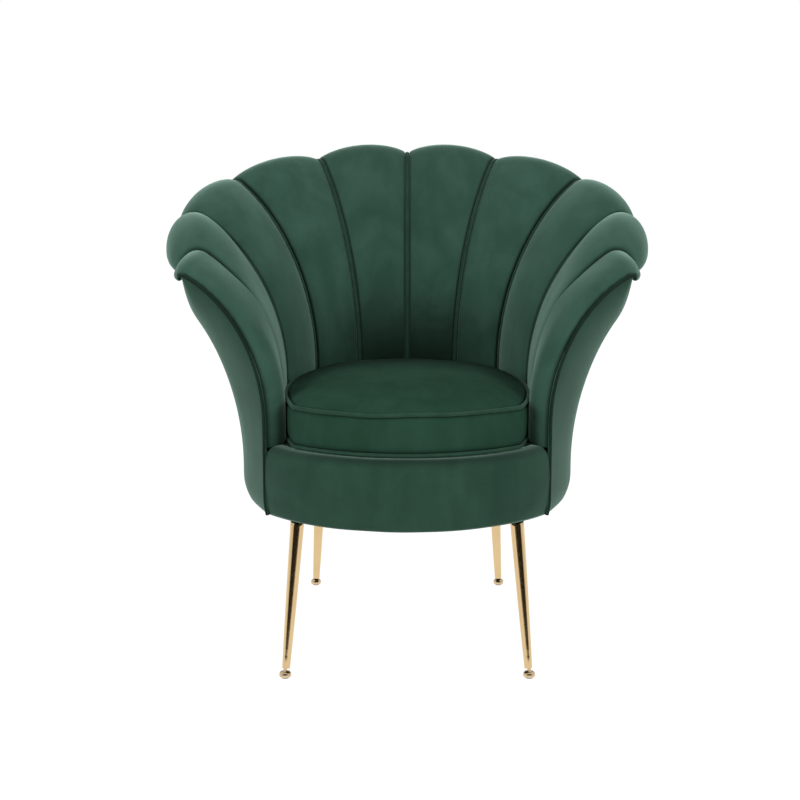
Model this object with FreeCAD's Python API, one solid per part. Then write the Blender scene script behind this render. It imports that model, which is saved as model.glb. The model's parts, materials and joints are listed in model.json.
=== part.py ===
import FreeCAD, Part
import math
import os

# Tub armchair with a channelled back. Millimetres and degrees.
# It stands on Z = 0, faces -Y and is the same left (-X) and right (+X).

CLEAR = 0.3                 # gap between pieces that lie against each other

# Seams between the channels, from the middle of the back round to the arm's front edge.
# foot: X, Y of the seam on the seat; rim: X, Y, Z of its highest point;
# roll: radius of the rolled rim; roll_end: how far the roll turns, 90 being level and 180 straight down.
MIDDLE_SEAM = {"foot": (0, 155), "rim": (0, 310, 822), "roll": 32, "roll_end": 180}
BACK_SEAM = {"foot": (88, 146), "rim": (170, 298, 809), "roll": 32, "roll_end": 180}
CORNER_SEAM = {"foot": (166, 106), "rim": (322, 226, 770), "roll": 32, "roll_end": 180}
ARM_SEAM = {"foot": (210, -20), "rim": (377, 66, 714), "roll": 33, "roll_end": 180}
PLEAT = {"foot": (213, -150), "rim": (345, -96, 662), "roll": 35, "roll_end": 180}
FRONT_EDGE = {"foot": (226, -256), "rim": (362, -186, 626), "roll": 16, "roll_end": 100}
FLARE_START = 440           # height where the seams begin to lean outward
FRONT_FLARE_START = 400     # the same on the arm's front edge
BETWEEN = (0, 1 / 3, 2 / 3) # places between seams where the outside covers follow the oval too

# Channel pads
PAD_EDGE = 9                # thickness along the seams
CROWN_LOW = 15              # how far a pad swells past its seams at the seat
CROWN_RIM = 20              # and over the rim
ARM_PAD_EDGE = 0.5          # the arm's front pad wraps the edge, so it is thin there
ARM_CROWN = 30
ROLL_STEPS = 8              # sections of a pad over the roll
FLARE_STEPS = 7             # and up the flare
PIPING = 3.5                # radius of the cord in the seams
PIPING_GAP = 0.5            # from the cord to the pads beside it
PLEAT_GAP = 0.5             # between the two front pads, which meet at a pleat

# Seat box
DECK_TOP = 362
DECK = 10                   # thickness of the seat deck
BASE_BOTTOM = 255
BASE_HALF_WIDTH = 281       # plan of the seat box, an oval
BASE_HALF_DEPTH = 321
BASE_CENTRE_Y = -50
TUCK = 9                    # how far the covers draw in at the bottom
TUCK_HEIGHT = 30
FRONT_TUCK = 4              # the same at the arms' front edges
PANEL = 10                  # thickness of the outside covers
PANEL_FRONT = 1             # where they meet the arm's front edge
SIDE_JOINT = 2              # number of the seam where the covers of back and arms meet
PANEL_FLARE_START = 305     # height where the outside covers begin to lean outward
FLARE_SHARE = 0.78          # share of their lean taken by the lower, hollow arc
LIP_OVERHANG = 5            # the roll stands this far over the covers
LIP_GAP = 6                 # from the roll down to the top of the covers
APRON_ROLL = 14             # radius of the seat front's rounded top edge
APRON_RETURN = 26           # how far its top reaches back

RAIL_INSET = 22             # from the oval in to the wooden rails
RAIL = 24                   # thickness of the rails
RAIL_BOTTOM = 256.5
RAIL_TOP = 346
FRONT_JOINT = -25           # angles round the oval where the rails join
REAR_JOINT = 28
BLOCK = 30                  # glue blocks behind the joints
BLOCK_HEIGHT = 60
BLOCK_ANGLE = 8
SPRING_RAIL = (136, 158)    # Y of the cross rail under the rear ends of the springs
SPRING_RAIL_HEIGHT = 46
DUST_COVER = 1.4

# Back frame
RIB = 12                    # plywood
RIB_SETBACK = 17            # from a seam in to the edge of its rib
RIB_COVER_GAP = 5           # and from the outside cover, which meets some ribs at a slant
RIM_RAIL = 14               # radius
TIP_RAIL = 7                # radius of the last one's end, towards the arm's tip
TIP_RAIL_SHARE = 0.35       # and how much of the way it goes
BELT_RAIL = 18
BELT_RAIL_HEIGHT = 40
BELT_RAIL_BOTTOM = 400
BELT_RAIL_SETBACK = 18
POST_FROM = 0.30            # place of the arm's front post, as shares of the front pad's width
POST_TO = 0.52
POST = 16
POST_COVER_GAP = 1

# Springs
SPRING_PLACES = (-132, -66, 0, 66, 132)
SPRING_WIRE = 1.8           # radius
SPRING_LOOP = 9             # radius of its bends
SPRING_RUN = 24             # straight across between bends
SPRING_LEAD = 20            # least straight end, under the clip
CLIP = (12, 16)             # across and along the spring
CLIP_STRAP = 1.2

# Seat cushion
CUSHION_HALF_WIDTH = 184
CUSHION_SETBACK = 21        # behind the face of the seat front
CUSHION_FRONT_CORNER = 28   # plan radii
CUSHION_REAR_CORNER = 150
CUSHION_BACK_RADIUS = 242
CUSHION_BACK_Y = 131
CUSHION_EDGE = 66           # height of its boxed side
CUSHION_CROWN = 16
CUSHION_SWELL = 2
CUSHION_COVER = 2.2
WELT = 3                    # radius of its piping

# Legs
FRONT_LEG_X = 174
REAR_LEG_X = 162
FRONT_SPLAY = (19, -56.3)   # X, Y from a leg's top to its foot
REAR_SPLAY = (14, 19.3)
LEG_TOP = 11.4              # radii
LEG_TIP = 6.4
LEG_WALL = 1.2
LEG_PLATE = 21              # radius
LEG_PLATE_THICKNESS = 3
LEG_SCREW = 2               # radii
LEG_SCREW_HEAD = 3.5
LEG_SCREW_HEAD_HEIGHT = 2.2
LEG_SCREW_LENGTH = 20
LEG_SCREW_CIRCLE = 16
LEG_SCREW_ANGLE = 35        # from the rail's run
GLIDE = 9.7                 # radius
GLIDE_RIM = 4.5             # height of its side
GLIDE_HEIGHT = 12.5
GLIDE_NECK = 5
GLIDE_STEM = 2.9            # radius
GLIDE_STEM_LENGTH = 24
INSERT = LEG_TIP - LEG_WALL - CLEAR   # radius, a close fit in the leg
INSERT_LENGTH = 26

V = FreeCAD.Vector
UP = V(0, 0, 1)


def line(a, b):
    return Part.LineSegment(a, b).toShape()


def arc(a, b, c):
    return Part.Arc(a, b, c).toShape()


def oval_point(half_width, half_depth, angle, z=0):
    turn = math.radians(angle)
    return V(half_width * math.cos(turn), BASE_CENTRE_Y + half_depth * math.sin(turn), z)


class Seam:
    # The upright plane of one seam: r runs outward from the seam's foot, z upward.
    def __init__(self, foot, rim, roll, roll_end, flare_start):
        run = V(rim[0] - foot[0], rim[1] - foot[1], 0)
        self.foot = V(foot[0], foot[1], 0)
        self.reach = run.Length
        self.out = run / run.Length
        self.across = V(-self.out.y, self.out.x, 0)
        self.roll = roll
        self.roll_z = rim[2] - roll
        self.flare_start = flare_start
        rise = self.roll_z - flare_start
        # the flare is an arc that starts upright and runs into the roll without a corner
        self.flare = (self.reach ** 2 + rise ** 2 - roll ** 2) / (2 * (self.reach - roll))
        self.lean = math.atan2(rise, self.flare - self.reach)
        self.end = math.radians(roll_end)

    def point(self, r, z):
        return self.foot + self.out * r + UP * z

    def on_flare(self, heading, depth=0):
        radius = self.flare - depth
        r = self.flare - radius * math.cos(heading)
        return self.point(r, self.flare_start + radius * math.sin(heading))

    def on_roll(self, heading, depth=0):
        radius = self.roll - depth
        return self.point(self.reach - radius * math.cos(heading), self.roll_z + radius * math.sin(heading))

    def normal(self, heading):
        return self.out * -math.cos(heading) + UP * math.sin(heading)

    def along(self, heading):
        return self.out * math.sin(heading) + UP * math.cos(heading)

    def base_reach(self):
        # from the foot out to the oval of the seat box
        a = (self.out.x / BASE_HALF_WIDTH) ** 2 + (self.out.y / BASE_HALF_DEPTH) ** 2
        y = self.foot.y - BASE_CENTRE_Y
        b = self.foot.x * self.out.x / BASE_HALF_WIDTH ** 2 + y * self.out.y / BASE_HALF_DEPTH ** 2
        c = (self.foot.x / BASE_HALF_WIDTH) ** 2 + (y / BASE_HALF_DEPTH) ** 2 - 1
        return (-b + math.sqrt(b * b - a * c)) / a

    def sections(self):
        # point and heading of each section of a pad, from the deck over the roll
        rows = [(self.point(0, DECK_TOP), 0)]
        for k in range(FLARE_STEPS + 1):
            heading = self.lean * k / FLARE_STEPS
            rows.append((self.on_flare(heading), heading))
        for k in range(1, ROLL_STEPS + 1):
            heading = self.lean + (self.end - self.lean) * k / ROLL_STEPS
            rows.append((self.on_roll(heading), heading))
        return rows


seam_sizes = (MIDDLE_SEAM, BACK_SEAM, CORNER_SEAM, ARM_SEAM, PLEAT)
seams = [Seam(flare_start=FLARE_START, **size) for size in seam_sizes]
front_edge = Seam(flare_start=FRONT_FLARE_START, **FRONT_EDGE)
ring = seams + [front_edge]

# the seat front is an arc from one arm's front edge to the other, over the front of the oval
apron_front = BASE_CENTRE_Y - BASE_HALF_DEPTH
apron_depth = front_edge.foot.y - apron_front
apron_radius = (front_edge.foot.x ** 2 + apron_depth ** 2) / (2 * apron_depth)
apron_centre_y = apron_front + apron_radius


def between(first, second, share):
    # a plane between two seams for the outside covers, under the straight line between the rolls' ends
    foot = first.foot + (second.foot - first.foot) * share
    end = first.on_roll(first.end) + (second.on_roll(second.end) - first.on_roll(first.end)) * share
    roll = first.roll + (second.roll - first.roll) * share
    out = V(end.x - foot.x, end.y - foot.y, 0).normalize()
    return Seam(foot, end - out * roll + UP * roll, roll, 180, first.flare_start)


def mirrored(shape):
    return shape.mirror(V(0, 0, 0), V(1, 0, 0))


def both_sides(shapes):
    return Part.makeCompound(shapes + [mirrored(shape) for shape in shapes])


def tube(edges, radius):
    path = Part.Wire(edges)
    start = path.Edges[0]
    circle = Part.Circle(start.Vertexes[0].Point, start.tangentAt(start.FirstParameter), radius)
    return path.makePipeShell([Part.Wire(circle.toShape())], True, False)


def strip_sections(inner, outer):
    # for each level between two seams: both seam points, the way across, the way the pad faces
    # and how far a gap stretches along the way across, where it meets each seam at a slant
    rows = []
    for (start, heading), (end, heading_end) in zip(inner.sections(), outer.sections()):
        across = (end - start).normalize()
        face = inner.normal(heading) + outer.normal(heading_end)
        face = (face - across * face.dot(across)).normalize()
        stretch = 1 / math.sqrt(1 - across.dot(inner.along(heading)) ** 2)
        stretch_end = 1 / math.sqrt(1 - across.dot(outer.along(heading_end)) ** 2)
        rows.append((start, end, across, face, stretch, stretch_end))
    return rows


def channel_pad(index):
    inner = ring[index]
    outer = ring[index + 1]
    piped = PIPING + PIPING_GAP
    last = index == len(ring) - 2
    start_gap = PLEAT_GAP / 2 if last else piped
    end_gap = PLEAT_GAP / 2 if index == len(ring) - 3 else piped
    edge = ARM_PAD_EDGE if last else PAD_EDGE
    rows = strip_sections(inner, outer)
    wires = []
    for k, (start, end, across, face, stretch, stretch_end) in enumerate(rows):
        crown = ARM_CROWN if last else CROWN_LOW + (CROWN_RIM - CROWN_LOW) * k / (len(rows) - 1)
        a = start + across * start_gap * stretch
        b = end - across * end_gap * stretch_end
        top = (a + b) / 2 + face * crown
        back = face * edge
        edges = [arc(a, top, b), line(b, b - back), line(b - back, a - back), line(a - back, a)]
        wires.append(Part.Wire(edges))
    return Part.makeLoft(wires, True, True)


def seam_edges(seam, low, depth=0):
    # the seam's line from a height up and over the roll
    middle = (seam.lean + seam.end) / 2
    return [
        line(seam.point(depth, low), seam.point(depth, seam.flare_start)),
        arc(seam.on_flare(0, depth), seam.on_flare(seam.lean / 2, depth), seam.on_flare(seam.lean, depth)),
        arc(seam.on_roll(seam.lean, depth), seam.on_roll(middle, depth), seam.on_roll(seam.end, depth)),
    ]


def channel_piping():
    # the seam between the two front pads is a pleat and has no cord
    cords = [tube(seam_edges(seam, DECK_TOP + CLEAR), PIPING) for seam in seams[:-1]]
    return Part.makeCompound(cords + [mirrored(cord) for cord in cords[1:]])


def front_edge_piping():
    tuck = tuck_arc(front_edge, 0, 0, FRONT_TUCK)
    return tube([tuck] + seam_edges(front_edge, BASE_BOTTOM + TUCK_HEIGHT), PIPING)


def tuck_arc(seam, base, depth, tuck):
    # the covers' bottom, drawn in from r = base
    radius = (TUCK_HEIGHT ** 2 + tuck ** 2) / (2 * tuck)
    turn = math.asin(TUCK_HEIGHT / radius)
    height = BASE_BOTTOM + TUCK_HEIGHT
    points = []
    for share in (1, 0.5, 0):
        r = base - radius + (radius - depth) * math.cos(turn * share)
        points.append(seam.point(r, height - (radius - depth) * math.sin(turn * share)))
    return arc(*points)


def cover_flare(seam, depth, low_z):
    # outside of the shell in a seam's plane, from a height up to the lip: a hollow arc, then a round one
    base = seam.base_reach()
    lip = seam.reach + seam.roll - LIP_OVERHANG
    lip_z = seam.roll_z - LIP_GAP
    run = lip - base
    rise = lip_z - PANEL_FLARE_START
    total = (rise ** 2 + run ** 2) / (2 * run)
    turn = math.asin(rise / total)
    low = FLARE_SHARE * total + depth
    high = (1 - FLARE_SHARE) * total - depth
    first = math.asin((low_z - PANEL_FLARE_START) / low)

    def on_low(angle):
        r = base - depth + low * (1 - math.cos(angle))
        return seam.point(r, PANEL_FLARE_START + low * math.sin(angle))

    def on_high(angle):
        return seam.point(lip - depth - high * (1 - math.cos(angle)), lip_z - high * math.sin(angle))

    return [
        arc(on_low(first), on_low((first + turn) / 2), on_low(turn)),
        arc(on_high(turn), on_high(turn / 2), on_high(0)),
    ]


def cover_section(seam, thickness=PANEL):
    def edges(depth):
        side = seam.base_reach() - depth
        upright = line(seam.point(side, BASE_BOTTOM + TUCK_HEIGHT), seam.point(side, PANEL_FLARE_START))
        tuck = tuck_arc(seam, seam.base_reach(), depth, TUCK)
        return [tuck, upright] + cover_flare(seam, depth, PANEL_FLARE_START)

    return closed(edges(0), edges(thickness))


def front_cover_section():
    # along the arm's front edge, moved back along the cover's run until it clears the piping's plane
    def edges(depth):
        tuck = tuck_arc(front_edge, 0, depth, FRONT_TUCK)
        return [tuck] + seam_edges(front_edge, BASE_BOTTOM + TUCK_HEIGHT, -depth)

    beside = between(seams[-1], front_edge, BETWEEN[-1])
    back = (beside.point(beside.base_reach(), 0) - front_edge.foot).normalize()
    wire = closed(edges(0), edges(PANEL_FRONT))
    wire.translate(back * (PIPING + PIPING_GAP) / back.dot(front_edge.across))
    return wire


def closed(outer, inner):
    # a section between two lines of edges that run the same way
    first = outer[0].Vertexes[0].Point
    last = outer[-1].Vertexes[-1].Point
    back = inner[-1].Vertexes[-1].Point
    start = inner[0].Vertexes[0].Point
    return Part.Wire(outer + [line(last, back)] + inner[::-1] + [line(start, first)])


def cover_sections(planes, thickness=PANEL):
    sections = []
    for first, second in zip(planes, planes[1:]):
        sections += [cover_section(between(first, second, share), thickness) for share in BETWEEN]
    return sections


def outer_panel_side(thickness=PANEL):
    wires = cover_sections(ring[SIDE_JOINT:], thickness) + [front_cover_section()]
    wires[0].translate(seams[SIDE_JOINT].across * -PIPING_GAP)
    return Part.makeLoft(wires, True, True)


def outer_panel_back():
    right = cover_sections(seams[:SIDE_JOINT + 1]) + [cover_section(seams[SIDE_JOINT])]
    left = [mirrored(wire) for wire in right[:0:-1]]
    return Part.makeLoft(left + right, True, True)


def apron_cover():
    # turned about the centre of the seat front, between the arms' front edges
    corner = front_edge.foot - V(0, apron_centre_y, 0)
    piping_angle = math.asin((PIPING + 2 * PIPING_GAP) / apron_radius)
    half = math.degrees(math.atan2(corner.x, -corner.y) - piping_angle)
    top = DECK_TOP - CLEAR
    inside = apron_radius - APRON_RETURN
    tuck = (TUCK_HEIGHT ** 2 + TUCK ** 2) / (2 * TUCK)
    tuck_turn = math.asin(TUCK_HEIGHT / tuck)

    def at(r, z):
        return V(0, apron_centre_y - r, z)

    def on_tuck(angle, depth):
        radius = tuck - depth
        r = apron_radius - tuck + radius * math.cos(angle)
        return at(r, BASE_BOTTOM + TUCK_HEIGHT - radius * math.sin(angle))

    def on_roll(angle, depth):
        radius = APRON_ROLL - depth
        r = apron_radius - APRON_ROLL + radius * math.cos(angle)
        return at(r, top - APRON_ROLL + radius * math.sin(angle))

    def edges(depth):
        quarter = math.pi / 2
        return [
            arc(on_tuck(tuck_turn, depth), on_tuck(tuck_turn / 2, depth), on_tuck(0, depth)),
            line(on_tuck(0, depth), on_roll(0, depth)),
            arc(on_roll(0, depth), on_roll(quarter / 2, depth), on_roll(quarter, depth)),
            line(on_roll(quarter, depth), at(inside, top - depth)),
        ]

    section = Part.Face(closed(edges(0), edges(PANEL)))
    centre = V(0, apron_centre_y, 0)
    section.rotate(centre, UP, -half)
    return section.revolve(centre, UP, 2 * half)


def oval_plate(inset, bottom, height):
    # plate with the plan of the seat box, drawn in; between the arms it stays behind the seat front
    deep = BASE_HALF_DEPTH - inset
    wide = BASE_HALF_WIDTH - inset
    centre = V(0, BASE_CENTRE_Y, bottom)
    oval = Part.Ellipse(centre + V(0, deep, 0), centre + V(wide, 0, 0), centre)
    plate = Part.Face(Part.Wire(oval.toShape())).extrude(UP * height)
    corner = V(-BASE_HALF_WIDTH, front_edge.foot.y - BASE_HALF_DEPTH, bottom)
    ahead = Part.makeBox(2 * BASE_HALF_WIDTH, BASE_HALF_DEPTH, height, corner)
    ahead = ahead.cut(Part.makeCylinder(apron_radius - inset + CLEAR, height, V(0, apron_centre_y, bottom)))
    return plate.cut(ahead)


def oval_band(inset, thickness, bottom, height):
    return oval_plate(inset, bottom, height).cut(oval_plate(inset + thickness, bottom, height))


def wedge(start, end, bottom, height):
    # block between two rays from the oval's centre
    centre = V(0, BASE_CENTRE_Y, bottom)
    corners = []
    for k in range(5):
        turn = math.radians(start + (end - start) * k / 4)
        corners.append(centre + V(math.cos(turn), math.sin(turn), 0) * 2 * BASE_HALF_DEPTH)
    return Part.Face(Part.makePolygon([centre] + corners + [centre])).extrude(UP * height)


def bearing(angle):
    # true direction from the oval's centre of a place given by its angle round the oval
    place = oval_point(BASE_HALF_WIDTH, BASE_HALF_DEPTH, angle)
    return math.degrees(math.atan2(place.y - BASE_CENTRE_Y, place.x))


def rail(start, end):
    height = RAIL_TOP - RAIL_BOTTOM
    gap = math.degrees(CLEAR / BASE_HALF_WIDTH)
    band = oval_band(RAIL_INSET, RAIL, RAIL_BOTTOM, height)
    piece = band.common(wedge(bearing(start) + gap, bearing(end) - gap, RAIL_BOTTOM, height))
    return piece.cut(screw_holes())


def joint_blocks():
    band = oval_band(RAIL_INSET + RAIL + CLEAR, BLOCK, RAIL_BOTTOM, BLOCK_HEIGHT)
    blocks = []
    for joint in (FRONT_JOINT, REAR_JOINT):
        middle = bearing(joint)
        cut = wedge(middle - BLOCK_ANGLE, middle + BLOCK_ANGLE, RAIL_BOTTOM, BLOCK_HEIGHT)
        blocks.append(band.common(cut))
    return both_sides(blocks)


def rail_y(x, inset, side):
    # Y on the plan of the seat box drawn in, in front (-1) or behind (1)
    share = x / (BASE_HALF_WIDTH - inset)
    y = BASE_CENTRE_Y + side * (BASE_HALF_DEPTH - inset) * math.sqrt(1 - share ** 2)
    if side > 0:
        return y
    return max(y, apron_centre_y - math.sqrt((apron_radius - inset) ** 2 - x ** 2))


def spring_rail():
    front, rear = SPRING_RAIL
    inside = RAIL_INSET + RAIL
    share = (rear - BASE_CENTRE_Y) / (BASE_HALF_DEPTH - inside)
    half = (BASE_HALF_WIDTH - inside) * math.sqrt(1 - share ** 2) - CLEAR
    corner = V(-half, front, RAIL_TOP - SPRING_RAIL_HEIGHT)
    return Part.makeBox(2 * half, rear - front, SPRING_RAIL_HEIGHT, corner)


def seat_deck():
    # reaches a little behind the pads, and forward to the inside edge of the seat front
    radius = apron_radius - APRON_RETURN - CLEAR
    side = seams[-1].foot
    corner = V(side.x, apron_centre_y - math.sqrt(radius ** 2 - side.x ** 2), 0)
    right = [seam.point(PAD_EDGE + 1, 0) for seam in seams[:-1]] + [side, corner]
    left = [V(-p.x, p.y, 0) for p in right]
    points = left[:0:-1] + right
    edges = [line(a, b) for a, b in zip(points, points[1:])]
    edges.append(arc(points[-1], V(0, apron_centre_y - radius, 0), points[0]))
    face = Part.Face(Part.Wire(edges))
    face.translate(UP * (DECK_TOP - CLEAR - DECK))
    return face.extrude(UP * DECK)


def dust_cover():
    plate = oval_plate(RAIL_INSET + CLEAR, RAIL_BOTTOM - CLEAR - DUST_COVER, DUST_COVER)
    return plate.cut(screw_holes())


def slab(seam):
    # the space of a rib, with clearance
    thickness = RIB + 2 * CLEAR
    far = BASE_HALF_DEPTH
    corners = [seam.point(-far, 0), seam.point(far, 0), seam.point(far, 3 * far), seam.point(-far, 3 * far)]
    face = Part.Face(Part.makePolygon(corners + corners[:1]))
    face.translate(seam.across * (-thickness / 2))
    return face.extrude(seam.across * thickness)


def rib(seam):
    # plywood between the pads and the outside cover, with a round head inside the roll
    bottom = RAIL_TOP + CLEAR
    inner = seam_edges(seam, bottom, RIB_SETBACK)
    outer = cover_flare(seam, PANEL + RIB_COVER_GAP, bottom)
    head_end = inner[-1].Vertexes[-1].Point
    shoulder = outer[-1].Vertexes[-1].Point
    ledge = V(shoulder.x, shoulder.y, head_end.z)
    foot = line(outer[0].Vertexes[0].Point, inner[0].Vertexes[0].Point)
    edges = inner + [line(head_end, ledge), line(ledge, shoulder)] + outer[::-1] + [foot]
    face = Part.Face(Part.Wire(edges))
    face.translate(seam.across * (-RIB / 2))
    return face.extrude(seam.across * RIB)


def back_ribs():
    ribs = [rib(seam) for seam in seams]
    return Part.makeCompound(ribs + [mirrored(piece) for piece in ribs[1:]])


def arm_front_posts():
    # follows the back of the arm's front pad, from the rail up to the roll
    rows = [row[:4] for row in strip_sections(ring[-2], ring[-1])[:FLARE_STEPS + 2]]
    start, end, across, face = rows[0]
    drop = UP * (RAIL_TOP + CLEAR - DECK_TOP)
    rows.insert(0, (start + drop, end + drop, across, face))
    wires = []
    for start, end, across, face in rows:
        width = end - start
        near = face * -(ARM_PAD_EDGE + 2 * CLEAR)
        far = near - face * POST
        a = start + width * POST_FROM
        b = start + width * POST_TO
        wires.append(Part.makePolygon([a + near, b + near, b + far, a + far, a + near]))
    # where the outside cover comes close, the post is shaved to clear it
    post = Part.makeLoft(wires, True, True).cut(outer_panel_side(PANEL + POST_COVER_GAP))
    return both_sides([max(post.Solids, key=lambda solid: solid.Volume)])


def rim_rails():
    # round rails from rib head to rib head, the last one tapering towards the arm's tip
    pieces = []
    for seam, after in zip(ring, ring[1:]):
        start = seam.point(seam.reach, seam.roll_z)
        run = after.point(after.reach, after.roll_z) - start
        if after is front_edge:
            piece = Part.makeCone(RIM_RAIL, TIP_RAIL, run.Length * TIP_RAIL_SHARE, start, run)
        else:
            piece = Part.makeCylinder(RIM_RAIL, run.Length, start, run).cut(slab(after))
        # the slabs leave chips beyond the ribs
        pieces.append(max(piece.cut(slab(seam)).Solids, key=lambda solid: solid.Volume))
    return both_sides(pieces)


def belt_rails():
    pieces = []
    near = BELT_RAIL_SETBACK
    far = BELT_RAIL_SETBACK + BELT_RAIL
    for seam, after in zip(seams, seams[1:]):
        corners = [seam.point(near, 0), after.point(near, 0), after.point(far, 0), seam.point(far, 0)]
        face = Part.Face(Part.makePolygon(corners + corners[:1]))
        face.translate(UP * BELT_RAIL_BOTTOM)
        pieces.append(face.extrude(UP * BELT_RAIL_HEIGHT).cut(slab(seam)).cut(slab(after)))
    return both_sides(pieces)


def spring_ends(x):
    front = rail_y(x, RAIL_INSET + RAIL / 2, -1)
    return front, sum(SPRING_RAIL) / 2


def spring(x):
    # zigzag wire, built up move by move from the front rail to the cross rail
    front, rear = spring_ends(x)
    loop = SPRING_LOOP
    turns = int((rear - front - 2 * loop - 2 * SPRING_LEAD) / (2 * loop))
    lead = (rear - front - 2 * loop * (turns + 1)) / 2
    place = V(x, front, RAIL_TOP + CLEAR + SPRING_WIRE)
    heading = V(0, 1, 0)
    edges = []

    def go(distance):
        nonlocal place
        edges.append(line(place, place + heading * distance))
        place = place + heading * distance

    def bend(angle):
        nonlocal place, heading
        side = 1 if angle > 0 else -1
        centre = place + UP.cross(heading) * loop * side
        spoke = place - centre
        points = []
        for share in (0.5, 1):
            turned = FreeCAD.Rotation(UP, angle * share).multVec(spoke)
            points.append(centre + turned)
        edges.append(arc(place, points[0], points[1]))
        place = points[1]
        heading = FreeCAD.Rotation(UP, angle).multVec(heading)

    go(lead)
    bend(90)
    go(SPRING_RUN / 2)
    side = -1
    for k in range(turns):
        bend(180 * side)
        side = -side
        go(SPRING_RUN if k < turns - 1 else SPRING_RUN / 2)
    bend(90 * side)
    go(lead)
    return tube(edges, SPRING_WIRE)


def seat_springs():
    return Part.makeCompound([spring(x) for x in SPRING_PLACES])


def spring_clips():
    # straps over the springs' ends
    wide, long = CLIP
    channel = 2 * SPRING_WIRE + 2 * CLEAR
    pieces = []
    for x in SPRING_PLACES:
        for y in spring_ends(x):
            corner = V(x - wide / 2, y - long / 2, RAIL_TOP)
            strap = Part.makeBox(wide, long, channel + CLIP_STRAP, corner)
            space = Part.makeBox(channel, long, channel, V(x - channel / 2, corner.y, RAIL_TOP))
            pieces.append(strap.cut(space))
    return Part.makeCompound(pieces)


def cushion_plan(inset, z, scale=1):
    # front and back arcs, straight sides and round corners that all run into each other
    front = V(0, apron_centre_y, 0)
    front_radius = apron_radius - CUSHION_SETBACK
    reach = front_radius - CUSHION_FRONT_CORNER
    x = CUSHION_HALF_WIDTH - CUSHION_FRONT_CORNER
    corner = V(x, front.y - math.sqrt(reach ** 2 - x ** 2), 0)
    back = V(0, CUSHION_BACK_Y - CUSHION_BACK_RADIUS, 0)
    reach = CUSHION_BACK_RADIUS - CUSHION_REAR_CORNER
    x = CUSHION_HALF_WIDTH - CUSHION_REAR_CORNER
    rear = V(x, back.y + math.sqrt(reach ** 2 - x ** 2), 0)
    middle = V(0, (front.y - front_radius + CUSHION_BACK_Y) / 2, 0)

    def on(centre, radius, toward):
        return centre + V(toward.x, toward.y, 0).normalize() * (radius - inset)

    east = V(1, 0, 0)
    to_front = corner - front
    to_back = rear - back
    right = [
        on(front, front_radius, to_front),
        on(corner, CUSHION_FRONT_CORNER, east + to_front.normalize()),
        on(corner, CUSHION_FRONT_CORNER, east),
        on(rear, CUSHION_REAR_CORNER, east),
        on(rear, CUSHION_REAR_CORNER, east + to_back.normalize()),
        on(back, CUSHION_BACK_RADIUS, to_back),
    ]
    left = [V(-p.x, p.y, 0) for p in right]
    edges = [
        arc(right[0], right[1], right[2]),
        line(right[2], right[3]),
        arc(right[3], right[4], right[5]),
        arc(right[5], on(back, CUSHION_BACK_RADIUS, V(0, 1, 0)), left[5]),
        arc(left[5], left[4], left[3]),
        line(left[3], left[2]),
        arc(left[2], left[1], left[0]),
        arc(left[0], on(front, front_radius, V(0, -1, 0)), right[0]),
    ]
    wire = Part.Wire(edges)
    wire.translate(-middle)
    wire.scale(scale)
    wire.translate(middle + UP * z)
    return wire


def cushion_solid(inside):
    # boxed cushion drawn in at both welts, with a crowned top; inside: how far within the cover
    bottom = DECK_TOP + CLEAR
    groove = 2 * WELT + CLEAR
    welt = 2 * WELT + 1
    rows = [
        (inside, groove),
        (welt, groove),
        (welt + 2, WELT),
        (CUSHION_EDGE / 4, 0),
        (CUSHION_EDGE / 2, -CUSHION_SWELL),
        (CUSHION_EDGE * 3 / 4, 0),
        (CUSHION_EDGE - welt - 2, WELT),
        (CUSHION_EDGE - welt, groove),
        (CUSHION_EDGE - inside, groove),
    ]
    wires = [cushion_plan(inset + inside, bottom + height) for height, inset in rows]
    for scale in (0.92, 0.8, 0.6, 0.4, 0.2):
        height = CUSHION_EDGE - inside + CUSHION_CROWN * (1 - scale ** 2)
        wires.append(cushion_plan(groove + inside, bottom + height, scale))
    return Part.makeLoft(wires, True, True)


def cushion_piping():
    low = DECK_TOP + CLEAR + WELT + PIPING_GAP
    high = DECK_TOP + CLEAR + CUSHION_EDGE - WELT - PIPING_GAP
    return Part.makeCompound([tube(cushion_plan(WELT, z).Edges, WELT) for z in (low, high)])


def plate_bottom():
    return RAIL_BOTTOM - 2 * CLEAR - DUST_COVER - LEG_PLATE_THICKNESS


def leg_places():
    # top of each right-hand leg under the middle of the rails, and its foot on the floor
    middle = RAIL_INSET + RAIL / 2
    places = {}
    ends = (("front", FRONT_LEG_X, FRONT_SPLAY, -1), ("rear", REAR_LEG_X, REAR_SPLAY, 1))
    for name, x, splay, side in ends:
        y = rail_y(x, middle, side)
        places[name] = (V(x, y, plate_bottom()), V(x + splay[0], y + splay[1], 0))
    return places


def along_leg(top, foot):
    down = foot - top
    length = down.Length
    return down / length, length


def tip_length(top, foot):
    # from the floor up the leg's axis to the tube's end
    down, length = along_leg(top, foot)
    return (GLIDE_HEIGHT + LEG_TIP * math.sin(math.acos(-down.z)) + 2 * CLEAR) / -down.z


def leg(top, foot):
    down, length = along_leg(top, foot)
    tube_length = length - tip_length(top, foot)
    taper = (LEG_TOP - LEG_TIP) / tube_length
    above = LEG_TOP
    start = top - down * above
    wide = LEG_TOP + taper * above
    long = tube_length + above
    solid = Part.makeCone(wide, LEG_TIP, long, start, down)
    bore = Part.makeCone(wide - LEG_WALL, LEG_TIP - LEG_WALL, long, start, down)
    block = Part.makeBox(6 * LEG_TOP, 6 * LEG_TOP, 3 * above, top - V(3 * LEG_TOP, 3 * LEG_TOP, 0))
    return solid.cut(bore).cut(block)


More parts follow.
